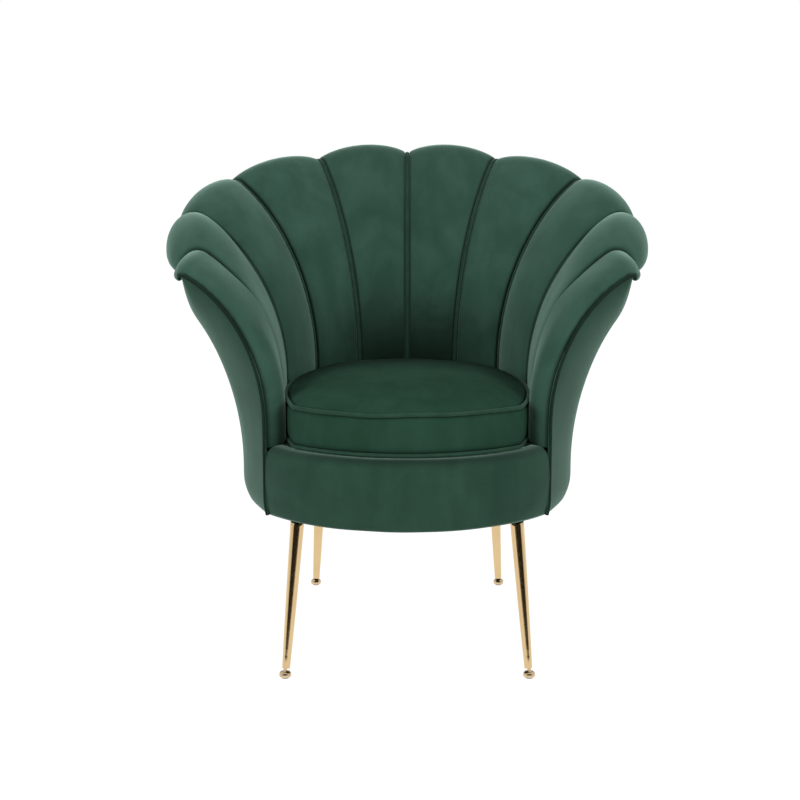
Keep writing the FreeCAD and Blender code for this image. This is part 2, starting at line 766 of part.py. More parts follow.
def glide_insert(top, foot):
    down, length = along_leg(top, foot)
    end = foot - down * tip_length(top, foot)
    plug = Part.makeCylinder(INSERT, INSERT_LENGTH, end, -down)
    return plug.cut(Part.makeCylinder(GLIDE_STEM + CLEAR, INSERT_LENGTH, end, -down))


def glide(top, foot):
    # domed foot with a flat underside, on a stem along the leg
    down, length = along_leg(top, foot)
    edge = 1
    dome = V((GLIDE + GLIDE_NECK) / 2 + 1, 0, (GLIDE_RIM + GLIDE_HEIGHT) / 2 + 1)
    points = [V(0, 0, 0), V(GLIDE - edge, 0, 0), V(GLIDE, 0, edge), V(GLIDE, 0, GLIDE_RIM)]
    edges = [line(a, b) for a, b in zip(points, points[1:])]
    edges.append(arc(points[-1], dome, V(GLIDE_NECK, 0, GLIDE_HEIGHT)))
    edges.append(line(V(GLIDE_NECK, 0, GLIDE_HEIGHT), V(0, 0, GLIDE_HEIGHT)))
    edges.append(line(V(0, 0, GLIDE_HEIGHT), V(0, 0, 0)))
    body = Part.Face(Part.Wire(edges)).revolve(V(0, 0, 0), UP, 360)
    body.translate(foot)
    start = foot - down * GLIDE_RIM
    stem_length = tip_length(top, foot) - GLIDE_RIM + GLIDE_STEM_LENGTH
    return body.fuse(Part.makeCylinder(GLIDE_STEM, stem_length, start, -down))


def screw_places():
    # four places on each plate, close to the rail's middle line
    places = []
    for top, foot in leg_places().values():
        around = V(top.x / (BASE_HALF_WIDTH ** 2), (top.y - BASE_CENTRE_Y) / (BASE_HALF_DEPTH ** 2), 0)
        tangent = UP.cross(around.normalize())
        for angle in (LEG_SCREW_ANGLE, 180 - LEG_SCREW_ANGLE, 180 + LEG_SCREW_ANGLE, -LEG_SCREW_ANGLE):
            spoke = FreeCAD.Rotation(UP, angle).multVec(tangent)
            places.append(top + spoke * LEG_SCREW_CIRCLE)
    return places


def screw_holes():
    holes = [Part.makeCylinder(LEG_SCREW + CLEAR, LEG_SCREW_LENGTH + 1, place) for place in screw_places()]
    return both_sides(holes)


def leg_screws():
    screws = []
    for place in screw_places():
        head = Part.makeCylinder(LEG_SCREW_HEAD, LEG_SCREW_HEAD_HEIGHT, place - UP * LEG_SCREW_HEAD_HEIGHT)
        screws.append(head.fuse(Part.makeCylinder(LEG_SCREW, LEG_SCREW_LENGTH, place)))
    return both_sides(screws)


def leg_plates():
    plates = [Part.makeCylinder(LEG_PLATE, LEG_PLATE_THICKNESS, top) for top, foot in leg_places().values()]
    return both_sides(plates).cut(screw_holes())


nodes = {}
for index in range(len(ring) - 1):
    pad = channel_pad(index)
    nodes["channel_pad_right_%d" % (index + 1)] = pad
    nodes["channel_pad_left_%d" % (index + 1)] = mirrored(pad)
nodes["channel_piping"] = channel_piping()
nodes["front_edge_piping_right"] = front_edge_piping()
nodes["front_edge_piping_left"] = mirrored(nodes["front_edge_piping_right"])
nodes["outer_panel_right"] = outer_panel_side()
nodes["outer_panel_left"] = mirrored(nodes["outer_panel_right"])
nodes["outer_panel_back"] = outer_panel_back()
nodes["apron_cover"] = apron_cover()
nodes["seat_deck"] = seat_deck()
nodes["cushion_cover"] = cushion_solid(0).cut(cushion_solid(CUSHION_COVER))
nodes["cushion_foam"] = cushion_solid(CUSHION_COVER + CLEAR)
nodes["cushion_piping"] = cushion_piping()
nodes["rail_right"] = rail(FRONT_JOINT, REAR_JOINT)
nodes["rail_left"] = mirrored(nodes["rail_right"])
nodes["rail_back"] = rail(REAR_JOINT, 180 - REAR_JOINT)
nodes["rail_front"] = rail(-180 - FRONT_JOINT, FRONT_JOINT)
nodes["joint_blocks"] = joint_blocks()
nodes["spring_rail"] = spring_rail()
nodes["seat_springs"] = seat_springs()
nodes["spring_clips"] = spring_clips()
nodes["back_ribs"] = back_ribs()
nodes["arm_front_posts"] = arm_front_posts()
nodes["rim_rails"] = rim_rails()
nodes["belt_rails"] = belt_rails()
nodes["dust_cover"] = dust_cover()
nodes["leg_plates"] = leg_plates()
nodes["leg_screws"] = leg_screws()
inserts = []
for end, (top, foot) in leg_places().items():
    nodes["leg_%s_right" % end] = leg(top, foot)
    nodes["leg_%s_left" % end] = mirrored(nodes["leg_%s_right" % end])
    nodes["glide_%s_right" % end] = glide(top, foot)
    nodes["glide_%s_left" % end] = mirrored(nodes["glide_%s_right" % end])
    inserts.append(glide_insert(top, foot))
nodes["glide_inserts"] = both_sides(inserts)

# the origin lies on the floor under the middle of the chair
rear = nodes["channel_pad_right_1"].optimalBoundingBox().YMax
to_origin = V(0, -(apron_centre_y - apron_radius + rear) / 2, 0)
print("moved to the origin by %.2f mm" % to_origin.y)

os.makedirs("parts", exist_ok=True)
for name, shape in nodes.items():
    shape.translate(to_origin)
    if not shape.isValid():
        print("not valid:", name)
    print("%-26s %3d solids %9.0f mm3" % (name, len(shape.Solids), shape.Volume))
    shape.exportStep("parts/%s.step" % name)
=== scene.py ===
import bpy
import bmesh
import json
import math
import numpy as np
from mathutils import Vector, Matrix, Euler, noise


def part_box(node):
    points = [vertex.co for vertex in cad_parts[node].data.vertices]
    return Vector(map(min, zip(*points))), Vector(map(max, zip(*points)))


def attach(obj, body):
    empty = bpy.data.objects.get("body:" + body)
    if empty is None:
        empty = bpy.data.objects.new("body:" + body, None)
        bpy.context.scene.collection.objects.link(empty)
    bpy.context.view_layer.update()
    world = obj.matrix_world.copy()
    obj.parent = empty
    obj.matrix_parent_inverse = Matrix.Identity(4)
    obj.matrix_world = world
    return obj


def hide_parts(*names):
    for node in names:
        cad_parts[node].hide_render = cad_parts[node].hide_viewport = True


# Tub armchair with a channelled velvet back on slim gold legs. Metres, faces -Y.
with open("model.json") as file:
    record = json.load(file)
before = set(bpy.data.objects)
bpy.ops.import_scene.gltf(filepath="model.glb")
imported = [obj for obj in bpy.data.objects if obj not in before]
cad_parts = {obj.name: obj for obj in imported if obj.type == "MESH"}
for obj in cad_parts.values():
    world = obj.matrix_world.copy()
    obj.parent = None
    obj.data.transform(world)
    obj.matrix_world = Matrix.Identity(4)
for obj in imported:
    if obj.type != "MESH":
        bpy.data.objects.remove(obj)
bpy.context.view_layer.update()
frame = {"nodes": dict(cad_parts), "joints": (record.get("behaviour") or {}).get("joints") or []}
scene = bpy.context.scene
print("frame loaded:", len(frame["nodes"]), "nodes")


# Shader helpers

class Signal:
    # one output of a node; sums and products of signals become Math nodes
    def __init__(self, graph, socket):
        self.graph = graph
        self.socket = socket

    def math(self, operation, first, second):
        return self.graph.add("ShaderNodeMath", {"operation": operation}, {0: first, 1: second})

    def __add__(self, other):
        return self.math("ADD", self, other)

    def __radd__(self, other):
        return self.math("ADD", other, self)

    def __sub__(self, other):
        return self.math("SUBTRACT", self, other)

    def __rsub__(self, other):
        return self.math("SUBTRACT", other, self)

    def __mul__(self, other):
        return self.math("MULTIPLY", self, other)

    def __rmul__(self, other):
        return self.math("MULTIPLY", other, self)


class Graph:
    def __init__(self, tree):
        self.tree = tree
        tree.nodes.clear()

    def add(self, kind, settings=None, inputs=None, output=0):
        node = self.tree.nodes.new(kind)
        for name, value in (settings or {}).items():
            if name == "stops":
                while len(node.color_ramp.elements) < len(value):
                    node.color_ramp.elements.new(0.5)
                for stop, (place, colour) in zip(node.color_ramp.elements, value):
                    stop.position = place
                    stop.color = (*colour, 1)
            else:
                setattr(node, name, value)
        for key, value in (inputs or {}).items():
            socket = node.inputs[key]
            if isinstance(value, Signal):
                self.tree.links.new(value.socket, socket)
            else:
                socket.default_value = value
        return Signal(self, node.outputs[output]) if len(node.outputs) else None

    def coords(self, scale=(1, 1, 1)):
        place = self.add("ShaderNodeTexCoord", output="Object")
        if scale == (1, 1, 1):
            return place
        return self.add("ShaderNodeMapping", {}, {"Vector": place, "Scale": scale})

    def noise(self, scale, detail=2, roughness=0.5, distortion=0, stretch=(1, 1, 1)):
        inputs = {"Vector": self.coords(stretch), "Scale": scale, "Detail": detail,
                  "Roughness": roughness, "Distortion": distortion}
        return self.add("ShaderNodeTexNoise", {"noise_dimensions": "3D"}, inputs)

    def ramp(self, value, low, high, toLow=0, toHigh=1):
        inputs = {"Value": value, "From Min": low, "From Max": high, "To Min": toLow, "To Max": toHigh}
        return self.add("ShaderNodeMapRange", {"interpolation_type": "SMOOTHSTEP"}, inputs)

    def blend(self, first, second, share):
        inputs = {0: share, 6: first, 7: second}
        return self.add("ShaderNodeMix", {"data_type": "RGBA", "clamp_factor": True}, inputs, 2)

    def attribute(self, name):
        return self.add("ShaderNodeAttribute", {"attribute_name": name}, {}, "Fac")

    def bump(self, height, distance, strength=1):
        inputs = {"Height": height, "Distance": distance, "Strength": strength}
        return self.add("ShaderNodeBump", {}, inputs)


def srgb(red, green, blue):
    # colour as read off a screen, 0 to 255, to linear
    shares = (red / 255, green / 255, blue / 255)
    linear = [v / 12.92 if v <= 0.04045 else ((v + 0.055) / 1.055) ** 2.4 for v in shares]
    return (*linear, 1)


def finish(name, build, **constants):
    # build gives the varying sockets of one Principled shader; the others are constants
    material = bpy.data.materials.new(name)
    material.use_nodes = True
    graph = Graph(material.node_tree)
    sockets = dict(constants)
    sockets.update(build(graph))
    shader = graph.add("ShaderNodeBsdfPrincipled", {}, sockets)
    graph.add("ShaderNodeOutputMaterial", {}, {"Surface": shader})
    return material


# Finishes

velvetLook = {
    "deep": srgb(29, 56, 45),       # pile seen end on
    "mid": srgb(41, 71, 58),
    "worn": srgb(68, 100, 86),      # where the pile is brushed over
    "crease": srgb(6, 18, 12),      # painted shade colour, in seams, creases and the darkened low and rear parts
    "sheenTint": srgb(176, 212, 198),
    "sheen": 1.0,
    "sheenRoughness": 0.36,
    "shine": 0.15,
    "pile": 1500,                   # grains per metre
    "brush": 11,                    # brushed patches per metre
}


def velvetNodes(look):
    def build(graph):
        patches = graph.noise(look["brush"], 3, 0.55, 0.8)
        streaks = graph.noise(34, 2, 0.5, 0.3, (1, 1, 0.22))
        grain = graph.noise(look["pile"], 2, 0.6)
        tuft = graph.noise(look["pile"] / 5, 1, 0.5)
        brushed = graph.ramp(patches * 0.6 + streaks * 0.4, 0.28, 0.74)
        colour = graph.blend(look["deep"], look["mid"], brushed)
        colour = graph.blend(colour, look["worn"], graph.ramp(grain, 0.42, 0.8) * 0.4)
        # painted shade: the colour darkens towards the shade colour by each point's fold value
        colour = graph.blend(colour, look["crease"], graph.attribute("fold"))
        height = grain * 0.7 + tuft * 0.3
        normal = graph.bump(height, 0.0006, 0.35)
        return {"Base Color": colour, "Roughness": 0.72 + grain * 0.2, "Normal": normal}
    return build


def velvet(name, **changes):
    look = {**velvetLook, **changes}
    return finish(name, velvetNodes(look), **{
        "Sheen Weight": look["sheen"], "Sheen Roughness": look["sheenRoughness"],
        "Sheen Tint": look["sheenTint"], "Specular IOR Level": look["shine"]})


def goldNodes(graph):
    smear = graph.noise(26, 3, 0.6, 0.4)
    hair = graph.noise(420, 2, 0.5, 0, (1, 1, 0.04))
    colour = graph.blend(srgb(198, 170, 124), srgb(214, 188, 144), smear)
    return {"Base Color": colour, "Roughness": 0.07 + smear * 0.05 + hair * 0.03,
            "Normal": graph.bump(hair, 0.00004, 0.5)}


def glideNodes(graph):
    smear = graph.noise(60, 3, 0.6)
    wear = graph.ramp(graph.noise(340, 3, 0.65), 0.58, 0.7)
    colour = graph.blend(srgb(200, 178, 144), srgb(128, 104, 74), wear * 0.6)
    return {"Base Color": colour, "Roughness": 0.12 + smear * 0.08 + wear * 0.2,
            "Normal": graph.bump(smear, 0.0001, 0.3)}


def rubberNodes(graph):
    speck = graph.noise(900, 3, 0.6)
    return {"Base Color": graph.blend(srgb(28, 24, 20), srgb(52, 46, 38), speck),
            "Roughness": 0.6 + speck * 0.3, "Normal": graph.bump(speck, 0.0003, 0.4)}


def timberNodes(light, dark, rings, along):
    def build(graph):
        stretch = tuple(0.12 if axis == along else 1 for axis in "XYZ")
        warp = graph.noise(9, 2, 0.5, 0, stretch)
        grain = graph.noise(rings, 4, 0.6, 1.2, stretch)
        pores = graph.ramp(graph.noise(950, 2, 0.5, 0, stretch), 0.56, 0.64)
        colour = graph.blend(light, dark, graph.ramp(grain * 0.7 + warp * 0.3, 0.36, 0.64))
        colour = graph.blend(colour, dark, pores * 0.5)
        return {"Base Color": colour, "Roughness": 0.6 + pores * 0.2,
                "Normal": graph.bump(grain + pores * -0.4, 0.0004, 0.5)}
    return build


def plywoodNodes(graph):
    layers = graph.add("ShaderNodeTexWave", {"wave_type": "BANDS", "bands_direction": "DIAGONAL"},
                       {"Vector": graph.coords(), "Scale": 120, "Distortion": 1.5, "Detail": 2}, "Fac")
    grain = graph.noise(120, 3, 0.6, 0.6, (1, 1, 0.15))
    colour = graph.blend(srgb(206, 172, 124), srgb(150, 108, 66), layers * 0.5 + grain * 0.4)
    return {"Base Color": colour, "Roughness": 0.65 + grain * 0.2, "Normal": graph.bump(grain, 0.0005, 0.5)}


def steelNodes(base, rough):
    def build(graph):
        drawn = graph.noise(600, 3, 0.6, 0, (1, 0.1, 1))
        stain = graph.ramp(graph.noise(70, 3, 0.6), 0.5, 0.75)
        colour = graph.blend(base, srgb(96, 88, 78), stain * 0.5)
        return {"Base Color": colour, "Roughness": rough + drawn * 0.15 + stain * 0.15,
                "Normal": graph.bump(drawn, 0.0001, 0.4)}
    return build


def wovenNodes(light, dark, threads):
    # plain weave from two crossed waves
    def build(graph):
        inputs = {"Vector": graph.coords(), "Scale": threads, "Distortion": 0.4, "Detail": 1}
        waves = []
        for direction in ("X", "Y"):
            settings = {"wave_type": "BANDS", "bands_direction": direction}
            waves.append(graph.add("ShaderNodeTexWave", settings, inputs, "Fac"))
        weave = waves[0] * waves[1]
        fuzz = graph.noise(1100, 2, 0.6)
        blotch = graph.noise(16, 3, 0.6)
        colour = graph.blend(dark, light, weave * 0.6 + fuzz * 0.25 + blotch * 0.15)
        return {"Base Color": colour, "Roughness": 0.85 + fuzz * 0.1,
                "Normal": graph.bump(weave + fuzz * 0.3, 0.0003, 0.6)}
    return build


def foamNodes(graph):
    cells = graph.add("ShaderNodeTexVoronoi", {"feature": "SMOOTH_F1"},
                      {"Vector": graph.coords(), "Scale": 520, "Smoothness": 0.4}, "Distance")
    age = graph.noise(7, 2, 0.5)
    colour = graph.blend(srgb(236, 226, 190), srgb(214, 196, 146), graph.ramp(age, 0.35, 0.7))
    return {"Base Color": colour, "Roughness": 0.9 + cells * 0.05, "Normal": graph.bump(cells, 0.0008, 0.7)}


velvetGreen = velvet("velvet green", deep=srgb(27, 53, 41), mid=srgb(38, 67, 53), worn=srgb(62, 94, 80),
                     sheen=0.8)
# a lighter copy of the velvet, painted light for the inside of the back and arms
velvetBackPaintedLight = velvet("velvet back painted lighter", deep=srgb(38, 67, 55), mid=srgb(53, 85, 71), worn=srgb(80, 112, 98))
velvetCord = velvet("velvet cord", deep=srgb(24, 48, 38), mid=srgb(34, 62, 50), sheen=0.6, brush=30)
# a shaded copy of the velvet for the seat: sheen and shine all but taken out, so the top stays dark as in
# shade
velvetSeatPaintedShade = velvet("velvet seat painted shade", deep=srgb(30, 57, 43), mid=srgb(40, 69, 55), worn=srgb(56, 86, 72),
                    sheen=0.03, shine=0.02, brush=8)
# a shaded copy for the cushion's welts, darker with less sheen as painted shade
velvetWeltPaintedShade = velvet("velvet welt painted shade", deep=srgb(28, 54, 41), mid=srgb(38, 66, 52), sheen=0.22, brush=30)
# a darker copy for the front cords, painted shade of the groove they lie in
velvetFrontCordPaintedShade = velvet("velvet front cord painted shade", deep=srgb(12, 28, 21), mid=srgb(20, 42, 32), worn=srgb(36, 60, 48),
                    sheen=0.25, brush=30)
gold = finish("polished gold", goldNodes, Metallic=1.0)
glideGold = finish("glide gold", glideNodes, Metallic=1.0)
glidePad = finish("glide pad", rubberNodes)
beech = finish("beech", timberNodes(srgb(214, 176, 128), srgb(176, 130, 84), 60, "X"))
pine = finish("pine", timberNodes(srgb(226, 194, 140), srgb(188, 142, 88), 34, "Z"))
plywood = finish("birch plywood", plywoodNodes)
springSteel = finish("spring steel", steelNodes(srgb(92, 92, 96), 0.32), Metallic=1.0)
zinc = finish("zinc plated steel", steelNodes(srgb(190, 190, 186), 0.26), Metallic=1.0)
lining = finish("black lining", wovenNodes(srgb(44, 44, 46), srgb(14, 14, 15), 420))
deckCloth = finish("green platform cloth", wovenNodes(srgb(52, 80, 68), srgb(24, 44, 36), 300))
seatFoam = finish("seat foam", foamNodes)
nylon = finish("nylon", rubberNodes)
print("finishes made:", len(bpy.data.materials))


# Mesh helpers

def pointValues(mesh, name, values, kind="FLOAT", field="value"):
    # a value for each point, under a name that materials and node trees read
    mesh.attributes.new(name, kind, "POINT").data.foreach_set(field, np.ravel(values).astype(np.float32))


def meshPiece(name, points, faces, material, fold=None):
    # a closed smooth mesh, its normals made to point outward
    mesh = bpy.data.meshes.new(name)
    mesh.from_pydata([tuple(map(float, p)) for p in points], [], [tuple(map(int, f)) for f in faces])
    mesh.update()
    mesh.materials.append(material)
    mesh.shade_smooth()
    if fold is not None:
        pointValues(mesh, "fold", fold)
    shape = bmesh.new()
    shape.from_mesh(mesh)
    bmesh.ops.recalc_face_normals(shape, faces=shape.faces)
    shape.to_mesh(mesh)
    shape.free()
    piece = bpy.data.objects.new(name, mesh)
    scene.collection.objects.link(piece)
    return piece


def ringFaces(rows, columns):
    # faces of closed rings laid row after row, with both ends filled
    faces = []
    for k in range(rows - 1):
        for i in range(columns):
            j = (i + 1) % columns
            faces.append((k * columns + i, k * columns + j, (k + 1) * columns + j, (k + 1) * columns + i))
    faces.append(tuple(range(columns - 1, -1, -1)))
    faces.append(tuple((rows - 1) * columns + i for i in range(columns)))
    return faces


def ringPiece(name, rings, material, fold=None):
    # a closed mesh from rings of points, all with the same number of them
    return meshPiece(name, np.vstack(rings), ringFaces(len(rings), len(rings[0])), material, fold)


def mirrorPiece(piece, name):
    # the same piece on the other side of the chair
    mesh = piece.data.copy()
    mesh.name = name
    mesh.transform(Matrix.Diagonal((-1, 1, 1, 1)))
    mesh.flip_normals()
    twin = bpy.data.objects.new(name, mesh)
    scene.collection.objects.link(twin)
    return twin


def evaluatedMesh(piece):
    # the piece with its modifiers applied, as a plain mesh
    return bpy.data.meshes.new_from_object(piece.evaluated_get(bpy.context.evaluated_depsgraph_get()))


def evenly(outline, count):
    # closed outline with its points spaced evenly
    outline = np.vstack([outline, outline[:1]])
    steps = np.concatenate([[0], np.cumsum(np.linalg.norm(np.diff(outline, axis=0), axis=1))])
    even = np.linspace(0, steps[-1], count + 1)[:-1]
    return np.stack([np.interp(even, steps, outline[:, k]) for k in (0, 1)], axis=1)


def smoothstep(low, high, value):
    share = np.clip((np.asarray(value, float) - low) / (high - low), 0, 1)
    return share * share * (3 - 2 * share)


def wobble(points, scale, amount, seed):
    # small smooth noise, the same for the same place
    offset = Vector((seed * 7.3, seed * 1.7, seed * 3.1))
    return np.array([noise.noise(Vector(p) * scale + offset) for p in points]) * amount


# Shell: the seams that the channels, cords and outside covers follow

shellForm = {
    "seams": [
        {"foot": (0, 0.155), "rim": (0, 0.310, 0.822), "roll": 0.032, "end": 180},
        {"foot": (0.088, 0.146), "rim": (0.170, 0.298, 0.809), "roll": 0.032, "end": 180},
        {"foot": (0.166, 0.106), "rim": (0.322, 0.226, 0.770), "roll": 0.032, "end": 180},
        {"foot": (0.210, -0.020), "rim": (0.377, 0.066, 0.714), "roll": 0.033, "end": 180},
        {"foot": (0.213, -0.150), "rim": (0.345, -0.096, 0.662), "roll": 0.035, "end": 180},
        {"foot": (0.226, -0.256), "rim": (0.362, -0.186, 0.626), "roll": 0.016, "end": 100},
    ],
    "flareStart": 0.440,
    "frontFlareStart": 0.400,
    "deckTop": 0.362,
    "baseBottom": 0.2515,
    "baseHalfWidth": 0.281,
    "baseHalfDepth": 0.321,
    "baseCentreY": -0.050,
    "tuckHeight": 0.030,
    "frontTuck": 0.004,     # how far the arm's front edge draws in at the bottom
    "overDeck": 0.0004,     # the channels start this far over the deck
}
apronFrontY = shellForm["baseCentreY"] - shellForm["baseHalfDepth"]
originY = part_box("apron_cover")[0].y - apronFrontY     # the frame's origin is under the chair's middle


class Seam:
    # upright plane of one seam: r runs outward from its foot, z upward
    def __init__(self, foot, rim, roll, end, flareStart):
        self.foot = np.array([foot[0], foot[1], 0.0])
        run = np.array([rim[0] - foot[0], rim[1] - foot[1], 0.0])
        self.reach = float(np.linalg.norm(run))
        self.out = run / self.reach
        self.across = np.array([-self.out[1], self.out[0], 0.0])
        self.roll = roll
        self.rollZ = rim[2] - roll
        self.flareStart = flareStart
        rise = self.rollZ - flareStart
        self.flare = (self.reach ** 2 + rise ** 2 - roll ** 2) / (2 * (self.reach - roll))
        self.lean = math.atan2(rise, self.flare - self.reach)
        self.end = math.radians(end)

    def point(self, r, z):
        return self.foot + self.out * r + np.array([0, originY, z])

    def onFlare(self, heading):
        return self.point(self.flare - self.flare * math.cos(heading),
                          self.flareStart + self.flare * math.sin(heading))

    def onRoll(self, heading, depth=0):
        radius = self.roll - depth
        return self.point(self.reach - radius * math.cos(heading), self.rollZ + radius * math.sin(heading))

    def normal(self, heading):
        return self.out * -math.cos(heading) + np.array([0, 0, math.sin(heading)])

    def along(self, heading):
        return self.out * math.sin(heading) + np.array([0, 0, math.cos(heading)])

    def baseReach(self):
        # from the foot out to the oval of the seat box
        wide, deep = shellForm["baseHalfWidth"], shellForm["baseHalfDepth"]
        y = self.foot[1] - shellForm["baseCentreY"]
        a = (self.out[0] / wide) ** 2 + (self.out[1] / deep) ** 2
        b = self.foot[0] * self.out[0] / wide ** 2 + y * self.out[1] / deep ** 2
        c = (self.foot[0] / wide) ** 2 + (y / deep) ** 2 - 1
        return (-b + math.sqrt(b * b - a * c)) / a


ring = [Seam(flareStart=shellForm["flareStart"], **size) for size in shellForm["seams"][:-1]]
frontEdge = Seam(flareStart=shellForm["frontFlareStart"], **shellForm["seams"][-1])
ring.append(frontEdge)

pathSteps = {"foot": 5, "upright": 10, "flare": 46, "roll": 26, "curl": 10, "under": 2}
curlForm = {"foot": 0.006, "lip": 0.007, "frontLip": 0.0045, "end": math.radians(284), "reach": 0.012}


def seamRows(seam):
    # point, heading, stretch and share of it, from the deck up the flare, over the roll and under
    steps = pathSteps
    rows = []
    low = shellForm["deckTop"] + shellForm["overDeck"]
    turn = curlForm["foot"]
    outward = turn if seam.end >= math.pi else 0
    for k in range(steps["foot"]):
        angle = math.pi / 2 * (1 - k / steps["foot"])
        point = seam.point(outward * (1 - math.cos(angle)), low + turn * (1 - math.sin(angle)))
        rows.append((point, 0, "foot", k / steps["foot"]))
    for k in range(steps["upright"]):
        share = k / steps["upright"]
        point = seam.point(0, low + turn + (seam.flareStart - low - turn) * share)
        rows.append((point, 0, "upright", share))
    for k in range(steps["flare"]):
        heading = seam.lean * k / steps["flare"]
        rows.append((seam.onFlare(heading), heading, "flare", k / steps["flare"]))
    for k in range(steps["roll"] + 1):
        heading = seam.lean + (seam.end - seam.lean) * k / steps["roll"]
        rows.append((seam.onRoll(heading), heading, "roll", k / steps["roll"]))
    last = seam.onRoll(seam.end)
    lip = curlForm["lip"] if seam.end >= math.pi else curlForm["frontLip"]
    centre = last - seam.normal(seam.end) * lip
    turn = curlForm["end"] - seam.end
    for k in range(1, steps["curl"] + 1):
        heading = seam.end + turn * k / steps["curl"]
        rows.append((centre + seam.normal(heading) * lip, heading, "curl", k / steps["curl"]))
    heading = curlForm["end"]
    tip = rows[-1][0]
    for k in range(1, steps["under"] + 1):
        share = k / steps["under"]
        rows.append((tip + seam.along(heading) * curlForm["reach"] * share, heading, "under", share))
    return rows


# Channels

channelForm = {
    "columns": 40,
    "edge": 0.009,          # thickness along the seams
    "crown": (0.008, 0.010, 0.021),     # swell at the seat, up the flare and over the rim
    "fullness": 0.74,       # 1 is a plain arc, less is rounder beside the seams
    "gap": 0.0035,          # from a seam to the pads beside it
    "edgeRound": 0.0038,    # the fabric turns down into the seam
    "creaseWidth": 0.0032,  # painted shade band beside a seam
    "shade": (0.600, 0.440, 0.70),  # painted shade low on the back: from this height down to this, and how strongly
    "shadeMiddle": (0.04, 0.20),    # full up to this far from the middle of the back, gone at that
    "shadeAlways": 0.16,    # part of it at every height
    "rimSwellFrom": 0.55,   # share of the flare where the swell over the rim begins
    "pucker": 0.0003,
    "puckerEvery": 0.013,
    "puckerReach": 0.012,
}


def crowdedEnds(count):
    # shares from 0 to 1, closer together at both ends
    return (1 - np.cos(np.pi * np.arange(count + 1) / count)) / 2


def pillow(t, fullness):
    return np.clip(1 - (2 * t - 1) ** 2, 0, 1) ** fullness


def edgeDrop(distance, radius):
    # how far a rounded edge has fallen, by distance from the seam
    inside = np.clip(radius - distance, 0, radius)
    return radius - np.sqrt(np.maximum(radius ** 2 - inside ** 2, 0))


def stretchSide(seam, across, heading):
    return 1 / math.sqrt(max(1 - float(across @ seam.along(heading)) ** 2, 0.2))


def flareShare(kind, share):
    # 0 at the seat to 1 from the rim on
    if kind in ("foot", "upright"):
        return 0
    return share if kind == "flare" else 1


def crownAt(up, seat, flare, rim):
    # swell of a channel by its share of the flare; it fills out towards the rim
    return seat + (flare - seat) * up + (rim - flare) * float(smoothstep(channelForm["rimSwellFrom"], 1, up))


def curlShrink(kind, share):
    # the swell dies away where the cover turns in under the rim
    return {"curl": math.cos(share * math.pi / 2) ** 0.7, "under": 0}.get(kind, 1)


def lowShade(points):
    # painted shade, darker towards the seat, most of all in the middle of the back
    top, low, strength = channelForm["shade"]
    middle = 1 - smoothstep(*channelForm["shadeMiddle"], np.abs(points[:, 0]))
    return middle * (channelForm["shadeAlways"] + strength * (1 - smoothstep(low, top, points[:, 2])))


def faceOver(across, first, second):
    # the way out between two seams, square to the line across
    face = first + second
    face = face - across * (face @ across)
    return face / np.linalg.norm(face)


def channelPad(name, inner, outer):
    form = channelForm
    t = crowdedEnds(form["columns"])
    points, fold = [], []
    travelled, before = 0, None
    for (start, heading, kind, share), (end, headingEnd, _, _) in zip(seamRows(inner), seamRows(outer)):
        across = (end - start) / np.linalg.norm(end - start)
        face = faceOver(across, inner.normal(heading), outer.normal(headingEnd))
        a = start + across * form["gap"] * stretchSide(inner, across, heading)
        b = end - across * form["gap"] * stretchSide(outer, across, headingEnd)
        width = np.linalg.norm(b - a)
        if before is not None:
            travelled += np.linalg.norm((a + b) / 2 - before)
        before = (a + b) / 2
        rise = crownAt(flareShare(kind, share), *form["crown"]) * curlShrink(kind, share)
        distance = np.minimum(t, 1 - t) * width
        height = rise * pillow(t, form["fullness"]) - edgeDrop(distance, form["edgeRound"])
        ripple = np.sin(travelled / form["puckerEvery"] * 2 * math.pi)
        ripple = ripple * np.exp(-distance / form["puckerReach"])
        if kind in ("upright", "flare", "roll"):
            height = height + ripple * form["pucker"]
        front = a + np.outer(t, b - a) + np.outer(height, face)
        back = face * form["edge"]
        points.append(np.vstack([front, b - back, (a + b) / 2 - back, a - back]))
        # painted shade beside the seams and low on the back; the hidden inner faces are fully dark
        dark = np.exp(-(distance / form["creaseWidth"]) ** 2)
        dark = np.maximum(dark, lowShade(front))
        fold.append(np.concatenate([dark, [1, 1, 1]]))
    return ringPiece(name, points, velvetBackPaintedLight, np.concatenate(fold))


pads = {}
for index in range(3):
    piece = channelPad("channel_right_%d" % (index + 1), ring[index], ring[index + 1])
    pads["channel_pad_right_%d" % (index + 1)] = piece
    pads["channel_pad_left_%d" % (index + 1)] = mirrorPiece(piece, "channel_left_%d" % (index + 1))
print("back channels made:", len(pads))


# Arms: two channels in one cover, parted by a pleat that fades out below the rim

